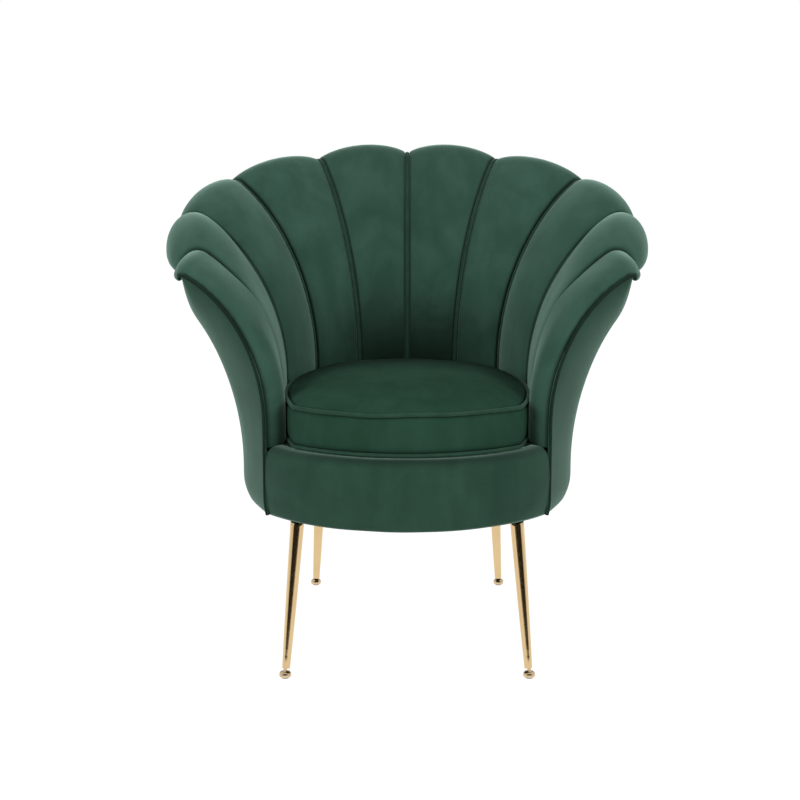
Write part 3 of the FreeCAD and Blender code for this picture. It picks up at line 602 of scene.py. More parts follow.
armForm = {
    "columns": (34, 40),        # across the side channel and the front one
    "turn": 0.35,               # the arm turns from side to front over this share of each channel
    "sideCrown": (0.006, 0.003, 0.023),     # at the seat, up the flare, at the rim
    "frontCrown": (0.030, 0.014, 0.009),    # at the seat, up the flare, at the tip
    "frontSkew": 1.4,           # over 1 moves the front channel's swell towards the arm's front
    "frontFullness": 0.80,
    "pleatFade": (0.50, 0.86),  # share of the flare where the pleat begins and is full
    "pleatDepth": 0.007,
    "pleatShade": (0.9, 0.0035),    # painted shade in the pleat: how dark, and over what width
    "seatSwellTo": 0.8,         # share of the flare where the front swell at the seat is gone
    "tipSwellFrom": 0.7,        # and where the tip's begins
    "mergedCrown": 0.008,       # swell over both where the pleat is gone
    "mergedReach": 0.42,        # its reach, as a share of the width of both
    "valley": (0.5, 0.30),      # how much the channels' own swell drops there, and its reach
    "thin": 0.0012,             # thickness at the front edge
    "overlap": 0.003,           # how far the pad's front corner reaches down over the seat front
    "overlapReach": 0.05,
    "tipRound": (0.002, 0.012), # drawn in at the arm's tip over the roll and under it
    "gather": 0.0011,           # puckers along the front piping
    "gatherEvery": 0.0105,
    "gatherUneven": (1.5, 90),  # how unevenly they follow each other
    "gatherReach": 0.011,
    "gatherFrom": 0.35,         # share of the flare where they begin
    "gatherFull": 0.8,
}


def armPads(name):
    form = armForm
    side, pleat, front = ring[3:]
    sideT, frontT = [crowdedEnds(count) for count in form["columns"]]
    edgeRound = channelForm["edgeRound"]
    gap = channelForm["gap"]
    points, fold = [], []
    travelled, before = 0, None
    rows = zip(seamRows(side), seamRows(pleat), seamRows(front))
    for (start, h1, kind, share), (middle, h2, _, _), (end, h3, _, _) in rows:
        flare = flareShare(kind, share)
        travelled += 0 if before is None else np.linalg.norm(end - before)
        before = end
        shrink = curlShrink(kind, share)
        present = float(smoothstep(*form["pleatFade"], flare))
        sideAcross = (middle - start) / np.linalg.norm(middle - start)
        frontAcross = (end - middle) / np.linalg.norm(end - middle)
        sideFace = faceOver(sideAcross, side.normal(h1), pleat.normal(h2))
        frontFace = faceOver(frontAcross, pleat.normal(h2), front.normal(h3))
        a = start + sideAcross * gap * stretchSide(side, sideAcross, h1)
        over, under = form["tipRound"]
        drawn = {"roll": over * share ** 2, "curl": over + (under - over) * share, "under": under}
        b = end - frontAcross * (gap * stretchSide(front, frontAcross, h3) + drawn.get(kind, 0))
        sideWidth = np.linalg.norm(middle - a)
        frontWidth = np.linalg.norm(b - middle)
        total = sideWidth + frontWidth
        # one run over both channels: distance from the side seam
        run = np.concatenate([sideT * sideWidth, sideWidth + frontT[1:] * frontWidth])
        chord = np.vstack([a + np.outer(sideT, middle - a), middle + np.outer(frontT[1:], b - middle)])
        turn = smoothstep(sideWidth - form["turn"] * sideWidth, sideWidth + form["turn"] * frontWidth, run)
        face = np.outer(1 - turn, sideFace) + np.outer(turn, frontFace)
        face /= np.linalg.norm(face, axis=1)[:, None]
        crownSide = crownAt(flare, *form["sideCrown"])
        seat, flareCrown, tipCrown = form["frontCrown"]
        crownFront = seat + (flareCrown - seat) * float(smoothstep(0, form["seatSwellTo"], flare))
        crownFront += (tipCrown - flareCrown) * float(smoothstep(form["tipSwellFrom"], 1, flare))
        lobes = np.concatenate([
            crownSide * pillow(sideT, channelForm["fullness"]),
            crownFront * pillow(frontT[1:] ** form["frontSkew"], form["frontFullness"]),
        ])
        # where the pleat is gone the valley between both fills up
        toPleat = np.abs(run - sideWidth)
        toFront = total - run
        drop, reach = form["valley"]
        valley = np.exp(-(toPleat / (reach * total)) ** 2)
        fill = form["mergedCrown"] * np.exp(-(toPleat / (form["mergedReach"] * total)) ** 2)
        merged = lobes * (1 - drop * valley) + fill * valley
        height = (present * lobes + (1 - present) * merged) * shrink
        height -= edgeDrop(run, edgeRound) + edgeDrop(toFront, edgeRound)
        height -= present * edgeDrop(toPleat, form["pleatDepth"])
        strength, waves = form["gatherUneven"]
        uneven = strength * math.sin(waves * travelled)
        gather = np.sin(2 * math.pi * travelled / form["gatherEvery"] + uneven)
        gather = gather * np.exp(-(toFront / form["gatherReach"]) ** 2)
        gather = gather * smoothstep(form["gatherFrom"], form["gatherFull"], flare)
        height += gather * form["gather"] * shrink
        pointsRow = chord + face * height[:, None]
        back = sideFace * channelForm["edge"]
        row = np.vstack([pointsRow, b - frontFace * form["thin"], middle - back, a - back])
        low = {"foot": 1, "upright": 1 - share}.get(kind, 0)
        reach = np.concatenate([toFront, [0, 1, 1]])
        row[:, 2] -= form["overlap"] * low * (1 - smoothstep(0, form["overlapReach"], reach))
        points.append(row)
        # painted shade beside both edges and in the pleat
        width = channelForm["creaseWidth"]
        dark = np.exp(-(run / width) ** 2) + np.exp(-(toFront / width) ** 2)
        strength, width = form["pleatShade"]
        dark += strength * present * np.exp(-(toPleat / width) ** 2)
        fold.append(np.concatenate([np.clip(dark, 0, 1), [1, 1, 1]]))
    return ringPiece(name, points, velvetBackPaintedLight, np.concatenate(fold))


armRight = armPads("arm_channels_right")
armLeft = mirrorPiece(armRight, "arm_channels_left")
print("arm channels made")


# Cords in the seams, swept by a geometry node tree

cordForm = {
    "seamWidth": 0.0076,
    "seamHeight": 0.0048,
    "frontWidth": 0.0054,
    "frontEnd": math.radians(92),   # heading on the roll where the front cord goes under the arm's tip
    "weltWidth": 0.0062,
    "sink": 0.0010,         # the seam cords lie this deep between the channels
    "frontSteps": (8, 16),  # points round the bottom and up the seat box
    "frontGirth": [0.35, 1.05, 1.25, 1.15],     # the front cord's lower end is folded in
    "frontTail": (0.001, 0.004),    # its upper end goes on and dips in by so much
    "sides": 14,
    "rumple": 0.00025,      # unevenness of the covered cord
    "rumpleScale": 160,
    "seed": 4,
}


def nodeTree(name, **kinds):
    # a geometry node tree: its graph and a signal from each of its inputs
    tree = bpy.data.node_groups.new(name, "GeometryNodeTree")
    for label, kind in {"Geometry": "Geometry", **kinds, "Finish": "Material"}.items():
        tree.interface.new_socket(label, in_out="INPUT", socket_type="NodeSocket" + kind)
    tree.interface.new_socket("Geometry", in_out="OUTPUT", socket_type="NodeSocketGeometry")
    graph = Graph(tree)
    sockets = tree.nodes.new("NodeGroupInput").outputs
    return graph, {socket.name: Signal(graph, socket) for socket in sockets if socket.name}


def dressedTree(graph, made, material):
    real = graph.add("GeometryNodeRealizeInstances", {}, {"Geometry": made})
    dressed = graph.add("GeometryNodeSetMaterial", {}, {"Geometry": real, "Material": material})
    graph.add("NodeGroupOutput", {}, {0: dressed})
    return graph.tree


def cordTree():
    # an oval, slightly uneven cord along a path
    graph, given = nodeTree("covered cord", Width="Float", Height="Float", Sides="Int", Rumple="Float",
                            RumpleScale="Float", Seed="Float")
    facing = graph.add("GeometryNodeInputNamedAttribute", {"data_type": "FLOAT_VECTOR"}, {"Name": "facing"})
    curve = graph.add("GeometryNodeMeshToCurve", {}, {0: given["Geometry"]})
    faced = graph.add("GeometryNodeSetCurveNormal", {"mode": "FREE"}, {"Curve": curve, "Normal": facing})
    circle = graph.add("GeometryNodeCurvePrimitiveCircle", {"mode": "RADIUS"},
                       {"Resolution": given["Sides"], "Radius": 0.5})
    scale = graph.add("ShaderNodeCombineXYZ", {}, {0: given["Height"], 1: given["Width"], 2: 1.0})
    oval = graph.add("GeometryNodeTransform", {}, {"Geometry": circle, "Scale": scale})
    sweep = graph.add("GeometryNodeCurveToMesh", {},
                      {"Curve": faced, "Profile Curve": oval, "Fill Caps": True})
    place = graph.add("GeometryNodeInputPosition")
    rough = graph.add("ShaderNodeTexNoise", {"noise_dimensions": "4D"},
                      {"Vector": place, "W": given["Seed"], "Scale": given["RumpleScale"]})
    normal = graph.add("GeometryNodeInputNormal")
    push = graph.add("ShaderNodeVectorMath", {"operation": "SCALE"},
                     {0: normal, "Scale": (rough - 0.5) * given["Rumple"] * 2.0})
    moved = graph.add("GeometryNodeSetPosition", {}, {"Geometry": sweep, "Offset": push})
    smooth = graph.add("GeometryNodeSetShadeSmooth", {}, {"Geometry": moved})
    return dressedTree(graph, smooth, given["Finish"])


coveredCord = cordTree()


def plainMesh(holder, tree, values):
    # runs a node tree on a mesh object and keeps the result as a plain mesh
    modifier = holder.modifiers.new("nodes", "NODES")
    modifier.node_group = tree
    named = {item.name: item.identifier for item in tree.interface.items_tree if item.in_out == "INPUT"}
    for name, value in values.items():
        modifier[named[name]] = value
    holder.data.update()
    made = evaluatedMesh(holder)
    holder.modifiers.clear()
    return made


def sweptCords(name, paths, width, height, material, closed=False, seed=0):
    # paths: for each cord its points, the way each faces and how thick it is there
    points, facing, girth, edges = [], [], [], []
    for path, outward, thick in paths:
        first = len(points)
        points += list(path)
        facing += list(outward)
        girth += list(thick)
        edges += [(first + i, first + i + 1) for i in range(len(path) - 1)]
        if closed:
            edges.append((first + len(path) - 1, first))
    mesh = bpy.data.meshes.new(name)
    mesh.from_pydata([tuple(map(float, p)) for p in points], edges, [])
    pointValues(mesh, "facing", facing, "FLOAT_VECTOR", "vector")
    pointValues(mesh, "radius", girth)
    holder = bpy.data.objects.new(name, mesh)
    scene.collection.objects.link(holder)
    holder.data = plainMesh(holder, coveredCord, {
        "Width": width, "Height": height, "Sides": cordForm["sides"], "Rumple": cordForm["rumple"],
        "RumpleScale": cordForm["rumpleScale"], "Seed": cordForm["seed"] + seed, "Finish": material})
    return holder


def seamCordPath(seam):
    path, facing = [], []
    for point, heading, kind, _ in seamRows(seam):
        if kind not in ("foot", "under"):
            normal = seam.normal(heading)
            path.append(point - normal * cordForm["sink"])
            facing.append(normal)
    return path, facing, [1] * len(path)


def flipped(path):
    points, facing, girth = path
    turn = np.array([-1, 1, 1])
    return [p * turn for p in points], [f * turn for f in facing], girth


seamPaths = [seamCordPath(seam) for seam in ring[:4]]
seamCords = sweptCords("seam_cords", seamPaths + [flipped(p) for p in seamPaths[1:]],
                       cordForm["seamWidth"], cordForm["seamHeight"], velvetCord)


def tuckPoints(seam, base, draw, count):
    # the covers' bottom, drawn in from r = base, from the lowest point up
    high = shellForm["tuckHeight"]
    radius = (high ** 2 + draw ** 2) / (2 * draw)
    turn = math.asin(high / radius)
    rows = []
    for k in range(count):
        angle = turn * (1 - k / count)
        r = base - radius + radius * math.cos(angle)
        z = shellForm["baseBottom"] + high - radius * math.sin(angle)
        rows.append(seam.point(r, z))
    return rows


def frontCordPath():
    tuckCount, sideCount = cordForm["frontSteps"]
    points = tuckPoints(frontEdge, 0, shellForm["frontTuck"], tuckCount)
    low = shellForm["baseBottom"] + shellForm["tuckHeight"]
    for k in range(sideCount):
        points.append(frontEdge.point(0, low + (frontEdge.flareStart - low) * k / sideCount))
    facing = [-frontEdge.out] * len(points)
    for point, heading, kind, _ in seamRows(frontEdge):
        if kind == "flare" or kind == "roll" and heading < cordForm["frontEnd"]:
            points.append(point)
            facing.append(frontEdge.normal(heading))
    on, dip = cordForm["frontTail"]
    points.append(points[-1] + frontEdge.along(cordForm["frontEnd"]) * on - facing[-1] * dip)
    facing.append(facing[-1])
    girth = cordForm["frontGirth"] + [1] * (len(points) - len(cordForm["frontGirth"]))
    return points, facing, girth


frontCordRight = sweptCords("front_cord_right", [frontCordPath()],
                            cordForm["frontWidth"], cordForm["frontWidth"], velvetFrontCordPaintedShade, seed=1)
frontCordLeft = mirrorPiece(frontCordRight, "front_cord_left")
print("cords made")


# Outside covers

coverForm = {
    "thickness": 0.004,
    "tuck": 0.009,
    "flareStart": 0.305,
    "flareShare": 0.78,     # share of the lean taken by the lower, hollow arc
    "lipOverhang": 0.005,
    "lipGap": 0.006,
    "sideJoint": 2.0,       # number of the seam where the covers of back and arms meet
    "jointRound": 0.003,
    "jointCrease": 0.003,   # width of the painted shade band there
    "uneven": (9, 0.0012, 3),       # scale, height and seed of the skin's unevenness
    "rows": (7, 4, 22, 11),         # round the tuck, up the seat box, up the hollow, out to the lip
    "frontFrom": 4.25,      # from here on the cover swings to the arm's front edge
    "frontEnd": math.radians(86),   # heading on the roll where that edge ends, inside the arm's tip
    "frontSink": 0.0008,    # how deep that end lies
    "frontUpright": 0.25,   # share of the hollow's rows that the front edge spends upright
    "across": 26,           # columns between two seams
}


def catmull(values, place):
    # smooth value between listed ones, mirrored about the first
    values = np.asarray(values, float)
    index = min(int(place), len(values) - 2)
    share = place - index
    mirror = np.array([-1, 1, 1]) if values.ndim > 1 else 1
    before = values[index - 1] if index > 0 else values[1] * mirror
    after = values[index + 2] if index + 2 < len(values) else 2 * values[index + 1] - values[index]
    a, b = values[index], values[index + 1]
    bend = 2 * before - 5 * a + 4 * b - after
    twist = 3 * (a - b) + after - before
    return a + 0.5 * share * (b - before + share * (bend + share * twist))


def coverPlane(place):
    # upright plane of the outside cover at a place along the ring, smooth through the seams' feet and lips
    foot = catmull([seam.foot for seam in ring], place)
    lip = catmull([seam.onRoll(seam.end) - np.array([0, originY, 0]) for seam in ring], place)
    roll = float(catmull([seam.roll for seam in ring], place))
    out = np.array([lip[0] - foot[0], lip[1] - foot[1], 0])
    out /= np.linalg.norm(out)
    rim = lip - out * roll + np.array([0, 0, roll])
    return Seam(foot, rim, roll, 180, shellForm["flareStart"])


def coverColumn(place):
    # one upright line of the cover, from its tucked bottom edge to the lip
    seam = coverPlane(min(place, len(ring) - 1))
    form = coverForm
    tuckRows, boxRows, hollowRows, lipRows = form["rows"]
    base = seam.baseReach()
    rows = tuckPoints(seam, base, form["tuck"], tuckRows)
    low = shellForm["baseBottom"] + shellForm["tuckHeight"]
    for k in range(boxRows):
        rows.append(seam.point(base, low + (form["flareStart"] - low) * k / boxRows))
    lip = seam.reach + seam.roll - form["lipOverhang"]
    lipZ = seam.rollZ - form["lipGap"]
    run, rise = lip - base, lipZ - form["flareStart"]
    total = (rise ** 2 + run ** 2) / (2 * run)
    turn = math.asin(min(rise / total, 1))
    lowArc, highArc = form["flareShare"] * total, (1 - form["flareShare"]) * total
    for k in range(hollowRows):
        angle = turn * k / hollowRows
        rows.append(seam.point(base + lowArc * (1 - math.cos(angle)),
                               form["flareStart"] + lowArc * math.sin(angle)))
    for k in range(lipRows):
        angle = turn * (1 - k / (lipRows - 1))
        rows.append(seam.point(lip - highArc * (1 - math.cos(angle)), lipZ - highArc * math.sin(angle)))
    if place <= form["frontFrom"]:
        return np.array(rows)
    edge = tuckPoints(frontEdge, 0, shellForm["frontTuck"], tuckRows)
    for k in range(boxRows):
        edge.append(frontEdge.point(0, low + (form["flareStart"] - low) * k / boxRows))
    upright = form["frontUpright"]
    for k in range(hollowRows):
        share = k / hollowRows
        if share < upright:
            z = form["flareStart"] + (frontEdge.flareStart - form["flareStart"]) * share / upright
            edge.append(frontEdge.point(0, z))
        else:
            edge.append(frontEdge.onFlare(frontEdge.lean * (share - upright) / (1 - upright)))
    for k in range(lipRows):
        heading = frontEdge.lean + (form["frontEnd"] - frontEdge.lean) * k / (lipRows - 1)
        edge.append(frontEdge.onRoll(heading, form["frontSink"] * k / (lipRows - 1)))
    share = float(smoothstep(form["frontFrom"], len(ring) - 1, place))
    return np.array(rows) * (1 - share) + np.array(edge) * share


def coverShell(name, places, jointEnds):
    # outer skin from its columns, thickened inward; jointEnds: which ends turn in to a sewn joint
    form = coverForm
    skin = np.array([coverColumn(abs(p)) * (np.array([-1, 1, 1]) if p < 0 else 1) for p in places])
    count, rows = skin.shape[:2]
    up = np.gradient(skin, axis=1)
    sideways = np.gradient(skin, axis=0)
    normal = np.cross(sideways, up)
    normal /= np.linalg.norm(normal, axis=2)[:, :, None]
    middle = np.array([0, originY, 0])
    if np.sum(normal[:, rows // 3] * (skin[:, rows // 3] - middle)) < 0:
        normal = -normal
    fold = np.zeros((count, rows))
    # painted shade along each sewn joint
    for end in jointEnds:
        edge = skin[0] if end == 0 else skin[-1]
        distance = np.linalg.norm(skin - edge[None], axis=2)
        skin = skin - normal * edgeDrop(distance, form["jointRound"])[:, :, None]
        fold = np.maximum(fold, np.exp(-(distance / form["jointCrease"]) ** 2))
    flat = skin.reshape(-1, 3)
    skin = (flat + normal.reshape(-1, 3) * wobble(flat, *form["uneven"])[:, None]).reshape(skin.shape)
    inner = skin - normal * form["thickness"]
    points = np.vstack([skin.reshape(-1, 3), inner.reshape(-1, 3)])
    faces = []
    size = count * rows
    for i in range(count - 1):
        for k in range(rows - 1):
            a, b, c, d = i * rows + k, (i + 1) * rows + k, (i + 1) * rows + k + 1, i * rows + k + 1
            faces += [(a, b, c, d), (size + a, size + d, size + c, size + b)]
    for i in range(count - 1):
        for k in (0, rows - 1):
            a, b = i * rows + k, (i + 1) * rows + k
            faces.append((a, b, size + b, size + a))
    for k in range(rows - 1):
        for i in (0, count - 1):
            a, b = i * rows + k, i * rows + k + 1
            faces.append((a, b, size + b, size + a))
    return meshPiece(name, points, faces, velvetGreen, np.concatenate([fold.ravel(), fold.ravel()]))


joint = coverForm["sideJoint"]
fine = joint + np.array([0.0, 0.004, 0.01, 0.018, 0.03])
sidePlaces = np.concatenate([fine, np.linspace(joint + 0.05, 4.94, 3 * coverForm["across"]), [4.97]])
coverRight = coverShell("outside_cover_right", sidePlaces, [0])
coverLeft = mirrorPiece(coverRight, "outside_cover_left")
half = np.concatenate([np.linspace(0, joint - 0.05, 2 * coverForm["across"]), joint - fine[::-1] + joint])
backPlaces = np.concatenate([-half[:0:-1], half])
coverBack = coverShell("outside_cover_back", backPlaces, [0, -1])
print("outside covers made")


# Seat front

apronForm = {
    "roll": 0.021,
    "return": 0.032,
    "deckGap": 0.0263,      # the seat deck stops this far behind the front
    "thickness": 0.005,
    "tuck": 0.006,
    "cordRoom": 0.0028,
    "columns": 150,
    "bulge": 0.002,
    "rollShade": 0.55,      # painted shade over the top edge
    "rollShadeTurn": (0.35, 1.3),   # from this way out to that
    "underDeck": 0.0003,    # its top lies this far under the deck's
    "endRound": 0.003,
    # width of the painted shade at both ends
    "endCrease": 0.004,
    "lift": (16, 0.0006, 5),        # scale, height and seed of the unevenness upward
    "puff": (13, 0.0012, 8),        # and outward
    "rows": (8, 10, 12, 3),         # round the tuck, up, over the edge and back to the deck
}
apronDepth = shellForm["seams"][-1]["foot"][1] - apronFrontY
apronRadius = (shellForm["seams"][-1]["foot"][0] ** 2 + apronDepth ** 2) / (2 * apronDepth)
apronCentreY = apronFrontY + apronRadius


def apronCover(name):
    form = apronForm
    foot = shellForm["seams"][-1]["foot"]
    half = math.atan2(foot[0], apronCentreY - foot[1]) - math.asin(form["cordRoom"] / apronRadius)
    tuckRows, uprightRows, rollRows, backRows = form["rows"]
    top = shellForm["deckTop"] - form["underDeck"]
    low = shellForm["baseBottom"]
    high = shellForm["tuckHeight"]
    tuckRadius = (high ** 2 + form["tuck"] ** 2) / (2 * form["tuck"])
    tuckTurn = math.asin(high / tuckRadius)
    profile = []    # distance from the centre, height, way out
    for k in range(tuckRows):
        angle = tuckTurn * (1 - k / tuckRows)
        profile.append((apronRadius - tuckRadius * (1 - math.cos(angle)),
                        low + high - tuckRadius * math.sin(angle), -angle))
    upright = top - form["roll"] - low - high
    for k in range(uprightRows):
        share = k / uprightRows
        profile.append((apronRadius + form["bulge"] * math.sin(math.pi * share),
                        low + high + upright * share, 0))
    for k in range(rollRows + 1):
        angle = math.pi / 2 * k / rollRows
        profile.append((apronRadius - form["roll"] * (1 - math.cos(angle)),
                        top - form["roll"] * (1 - math.sin(angle)), angle))
    for k in range(1, backRows + 1):
        back = (form["return"] - form["roll"]) * k / backRows
        profile.append((apronRadius - form["roll"] - back, top, math.pi / 2))
    wall = form["thickness"]
    inner = [(r - wall * math.cos(way), z - wall * math.sin(way)) for r, z, way in profile]
    loop = [(r, z) for r, z, way in profile] + inner[::-1]
    shares = [2 * k / form["columns"] - 1 for k in range(form["columns"] + 1)]
    angles = [half * math.sin(math.pi / 2 * share) for share in shares]
    points, fold = [], []
    for angle in angles:
        near = (half - abs(angle)) * apronRadius
        drop = float(edgeDrop(near, form["endRound"]))
        for number, (r, z) in enumerate(loop):
            shade, reach = 1, r
            if number < len(profile):
                shade = form["rollShade"] * float(smoothstep(*form["rollShadeTurn"], profile[number][2]))
                reach = r - drop
            points.append((reach * math.sin(angle), originY + apronCentreY - reach * math.cos(angle), z))
            # painted shade near both ends and over the top edge
            fold.append(max(math.exp(-(near / form["endCrease"]) ** 2), shade))
    points = np.array(points)
    points[:, 2] += wobble(points, *form["lift"])
    way = points - np.array([0, originY + apronCentreY, 0])
    way[:, 2] = 0
    way /= np.linalg.norm(way, axis=1)[:, None]
    points += way * wobble(points, *form["puff"])[:, None]
    return meshPiece(name, points, ringFaces(len(angles), len(loop)), velvetGreen, fold)


apron = apronCover("seat_front_cover")
print("seat front made")


# Seat cushion: a boxed cover blown up by a short cloth simulation, with a piped edge above and below

cushionForm = {
    "halfWidth": 0.206,     # where the bowed sides are widest
    "widestY": -0.090,
    "sideRadius": 0.700,
    "setback": 0.021,
    "frontCorner": 0.016,
    "rearCorner": 0.125,
    "backRadius": 0.300,
    "backY": 0.137,
    "edge": 0.070,
    "crown": 0.028,
    "dome": 5.5,            # higher is fuller towards the edge
    "welt": 0.003,
    "weltIn": 0.0008,       # the piping's line lies this much further in
    "overDeck": 0.0003,
    "cut": 0.006,           # how far the panels' edges lie inside the widest line
    "bend": 0.004,          # height over which the side turns in towards them
    "bottomRings": (0.02, 0.3, 0.6, 0.85, 0.96),            # sizes of the rings below and above
    "topRings": (0.96, 0.88, 0.76, 0.6, 0.42, 0.22, 0.02),
    "start": 0.0015,        # the cover starts this much smaller
    "foamInset": 0.012,
    "foamSink": 0.003,
    "groove": (0.0055, 0.0035),     # width and depth of the dent along the piping
    "crease": (0.9, 0.0042),        # darkness and width of the shadow beside it
    "sags": ((-0.0028, -0.05, 0.07), (0.0016, 0.02, 0.05)),   # height, place and width
    "sagFade": (0.0, -0.25),        # they grow from here towards the front
    "uneven": (14, 0.0016, 2),      # scale, height and seed of the top's unevenness
    "rearShadeFrom": (-0.17, 0.04),
    "rearShade": 0.95,      # painted shade, darker towards the back of the top
    "voxel": 0.005,
    "pressure": 4.0,
    "frames": 20,
    "capTop": 0.010,        # how far the simulation may move a point, over the top and at the sides
    "capSide": 0.0035,
    "pinReach": 0.007,      # the cover is held this near to the piping
    "arcPoints": 40,
    "points": 260,
}


def filletCentre(first, firstReach, second, secondReach, turn):
    # point at given distances from two others, on the left (1) or right (-1) of the way between them
    way = second - first
    length = np.linalg.norm(way)
    along = (firstReach ** 2 - secondReach ** 2 + length ** 2) / (2 * length)
    aside = math.sqrt(firstReach ** 2 - along ** 2) * turn
    return first + (way * along + np.array([-way[1], way[0]]) * aside) / length


def bearing(v):
    return math.atan2(v[1], v[0])


def cushionOutline(inset):
    # closed outline of five round arcs each side, seen from above, evenly spaced
    form = cushionForm
    frontRadius = apronRadius - form["setback"]
    sideRadius, backRadius = form["sideRadius"], form["backRadius"]
    front = np.array([0, apronCentreY])
    side = np.array([form["halfWidth"] - sideRadius, form["widestY"]])
    back = np.array([0, form["backY"] - backRadius])
    small, large = form["frontCorner"], form["rearCorner"]
    corner = filletCentre(side, sideRadius - small, front, frontRadius - small, -1)
    rear = filletCentre(side, sideRadius - large, back, backRadius - large, 1)
    right = []
    for centre, radius, start, end in (
            (front, frontRadius, -math.pi / 2, bearing(corner - front)),
            (corner, small, bearing(corner - front), bearing(corner - side)),
            (side, sideRadius, bearing(corner - side), bearing(rear - side)),
            (rear, large, bearing(rear - side), bearing(rear - back)),
            (back, backRadius, bearing(rear - back), math.pi / 2)):
        for angle in np.linspace(start, end, form["arcPoints"]):
            right.append(centre + (radius - inset) * np.array([math.cos(angle), math.sin(angle)]))
    right = np.array(right)
    outline = np.vstack([right, right[-2:0:-1] * np.array([-1, 1])])
    keep = np.concatenate([[True], np.linalg.norm(np.diff(outline, axis=0), axis=1) > 1e-7])
    return evenly(outline[keep], form["points"])


cushionMiddle = np.array([0, (apronFrontY + cushionForm["setback"] + cushionForm["backY"]) / 2])
cushionLow = shellForm["deckTop"] + cushionForm["overDeck"]


def cushionRings(shrink, sink=0):
    form = cushionForm
    low, high = cushionLow + 0.001 + sink, cushionLow + form["edge"] - sink
    edge, cut, bend = form["edge"], form["cut"], form["bend"]
    welt = 2 * form["welt"]
    panel = cushionOutline(shrink + cut) - cushionMiddle
    rings = [panel * scale + cushionMiddle for scale in form["bottomRings"]]
    heights = [low] * len(rings)
    for height, inset in ((0.0, cut), (bend, 0.003), (welt + bend, 0.001), (edge / 2, 0.0),
                          (edge - welt - bend, 0.001), (edge - bend, 0.003), (edge, cut)):
        rings.append(cushionOutline(shrink + inset))
        heights.append(low + height * (high - low) / edge)
    for scale in form["topRings"]:
        rings.append(panel * scale + cushionMiddle)
        heights.append(high + form["crown"] * (1 - scale ** form["dome"]))
    points = []
    for outline, height in zip(rings, heights):
        level = np.full(len(outline), height)
        points.append(np.column_stack([outline[:, 0], outline[:, 1] + originY, level]))
    return points


def runCloth(piece, pinned, pressure, frames):
    group = piece.vertex_groups.new(name="pin")
    group.add([int(i) for i in pinned], 1, "REPLACE")
    cloth = piece.modifiers.new("cloth", "CLOTH")
    settings = cloth.settings
    settings.quality = 6
    settings.mass = 0.3
    settings.tension_stiffness = 18
    settings.compression_stiffness = 8
    settings.shear_stiffness = 6
    settings.bending_stiffness = 1.5
    settings.use_pressure = True
    settings.uniform_pressure_force = pressure
    settings.effector_weights.gravity = 0
    settings.vertex_group_mass = "pin"
    cloth.collision_settings.use_collision = False
    cloth.point_cache.frame_start = 1
    cloth.point_cache.frame_end = frames
    for number in range(1, frames + 1):
        scene.frame_set(number)
    made = evaluatedMesh(piece)
    moved = meshPoints(made)
    piece.modifiers.clear()
    piece.vertex_groups.clear()
    scene.frame_set(1)
    bpy.data.meshes.remove(made)
    return moved


def remeshed(name, rings, voxel, material):
    piece = ringPiece(name, rings, material)
    modifier = piece.modifiers.new("remesh", "REMESH")
    modifier.mode = "VOXEL"
    modifier.voxel_size = voxel
    modifier.use_smooth_shade = True
    made = evaluatedMesh(piece)
    piece.modifiers.clear()
    piece.data = made
    return piece


def meshPoints(mesh):
    flat = np.zeros(len(mesh.vertices) * 3)
    mesh.vertices.foreach_get("co", flat)
    return flat.reshape(-1, 3)


def setPoints(mesh, points):
    mesh.vertices.foreach_set("co", np.ravel(points))
    mesh.update()


def sag(x, y):
    # the front edge dips a little left of the middle, as a used cushion's does
    front = smoothstep(*cushionForm["sagFade"], y - originY)
    return sum(height * np.exp(-((x - place) / width) ** 2) * front
               for height, place, width in cushionForm["sags"])


def weltDistance(points, height):
    # from each point to the line of a welt
    outline = cushionOutline(cushionForm["welt"])
    outline[:, 1] += originY
    gaps = points[:, None, :2] - outline[None]
    level = np.min(np.hypot(gaps[..., 0], gaps[..., 1]), axis=1)
    return np.hypot(level, points[:, 2] - height)


foamRings = cushionRings(cushionForm["foamInset"], cushionForm["foamSink"])
foam = ringPiece("seat_cushion_foam", foamRings, seatFoam)
cushion = remeshed("seat_cushion_cover", cushionRings(cushionForm["start"]), cushionForm["voxel"], velvetSeatPaintedShade)
weltLow = cushionLow + cushionForm["welt"] + 0.0005
weltHigh = cushionLow + cushionForm["edge"] - cushionForm["welt"] - 0.0005
rest = meshPoints(cushion.data)
nearWelt = np.minimum(weltDistance(rest, weltLow), weltDistance(rest, weltHigh))
pinned = np.where(nearWelt < cushionForm["pinReach"])[0]
blown = runCloth(cushion, pinned, cushionForm["pressure"], cushionForm["frames"])
step = blown - rest
size = np.linalg.norm(step, axis=1)
upper = smoothstep(weltHigh - 0.01, weltHigh + 0.004, rest[:, 2])
cap = cushionForm["capSide"] + (cushionForm["capTop"] - cushionForm["capSide"]) * upper
limited = cap * np.tanh(size / cap)
moved = rest + step * (limited / np.maximum(size, 1e-9))[:, None]
moved[:, 2] = np.maximum(moved[:, 2], cushionLow)
setPoints(cushion.data, moved)
print("cushion simulated, points:", len(rest))
subdivide = cushion.modifiers.new("fine", "SUBSURF")
subdivide.levels = subdivide.render_levels = 1
finer = evaluatedMesh(cushion)
cushion.modifiers.clear()
cushion.data = finer
shape = meshPoints(finer)
near = np.minimum(weltDistance(shape, weltLow), weltDistance(shape, weltHigh))
middle = np.array([cushionMiddle[0], cushionMiddle[1] + originY])
inward = middle - shape[:, :2]
inward /= np.maximum(np.linalg.norm(inward, axis=1), 1e-6)[:, None]
width, depth = cushionForm["groove"]
groove = np.exp(-(near / width) ** 2)
shape[:, :2] += inward * (groove * depth)[:, None]
shape[:, 2] += sag(shape[:, 0], shape[:, 1]) * smoothstep(cushionLow + 0.02, weltHigh, shape[:, 2])
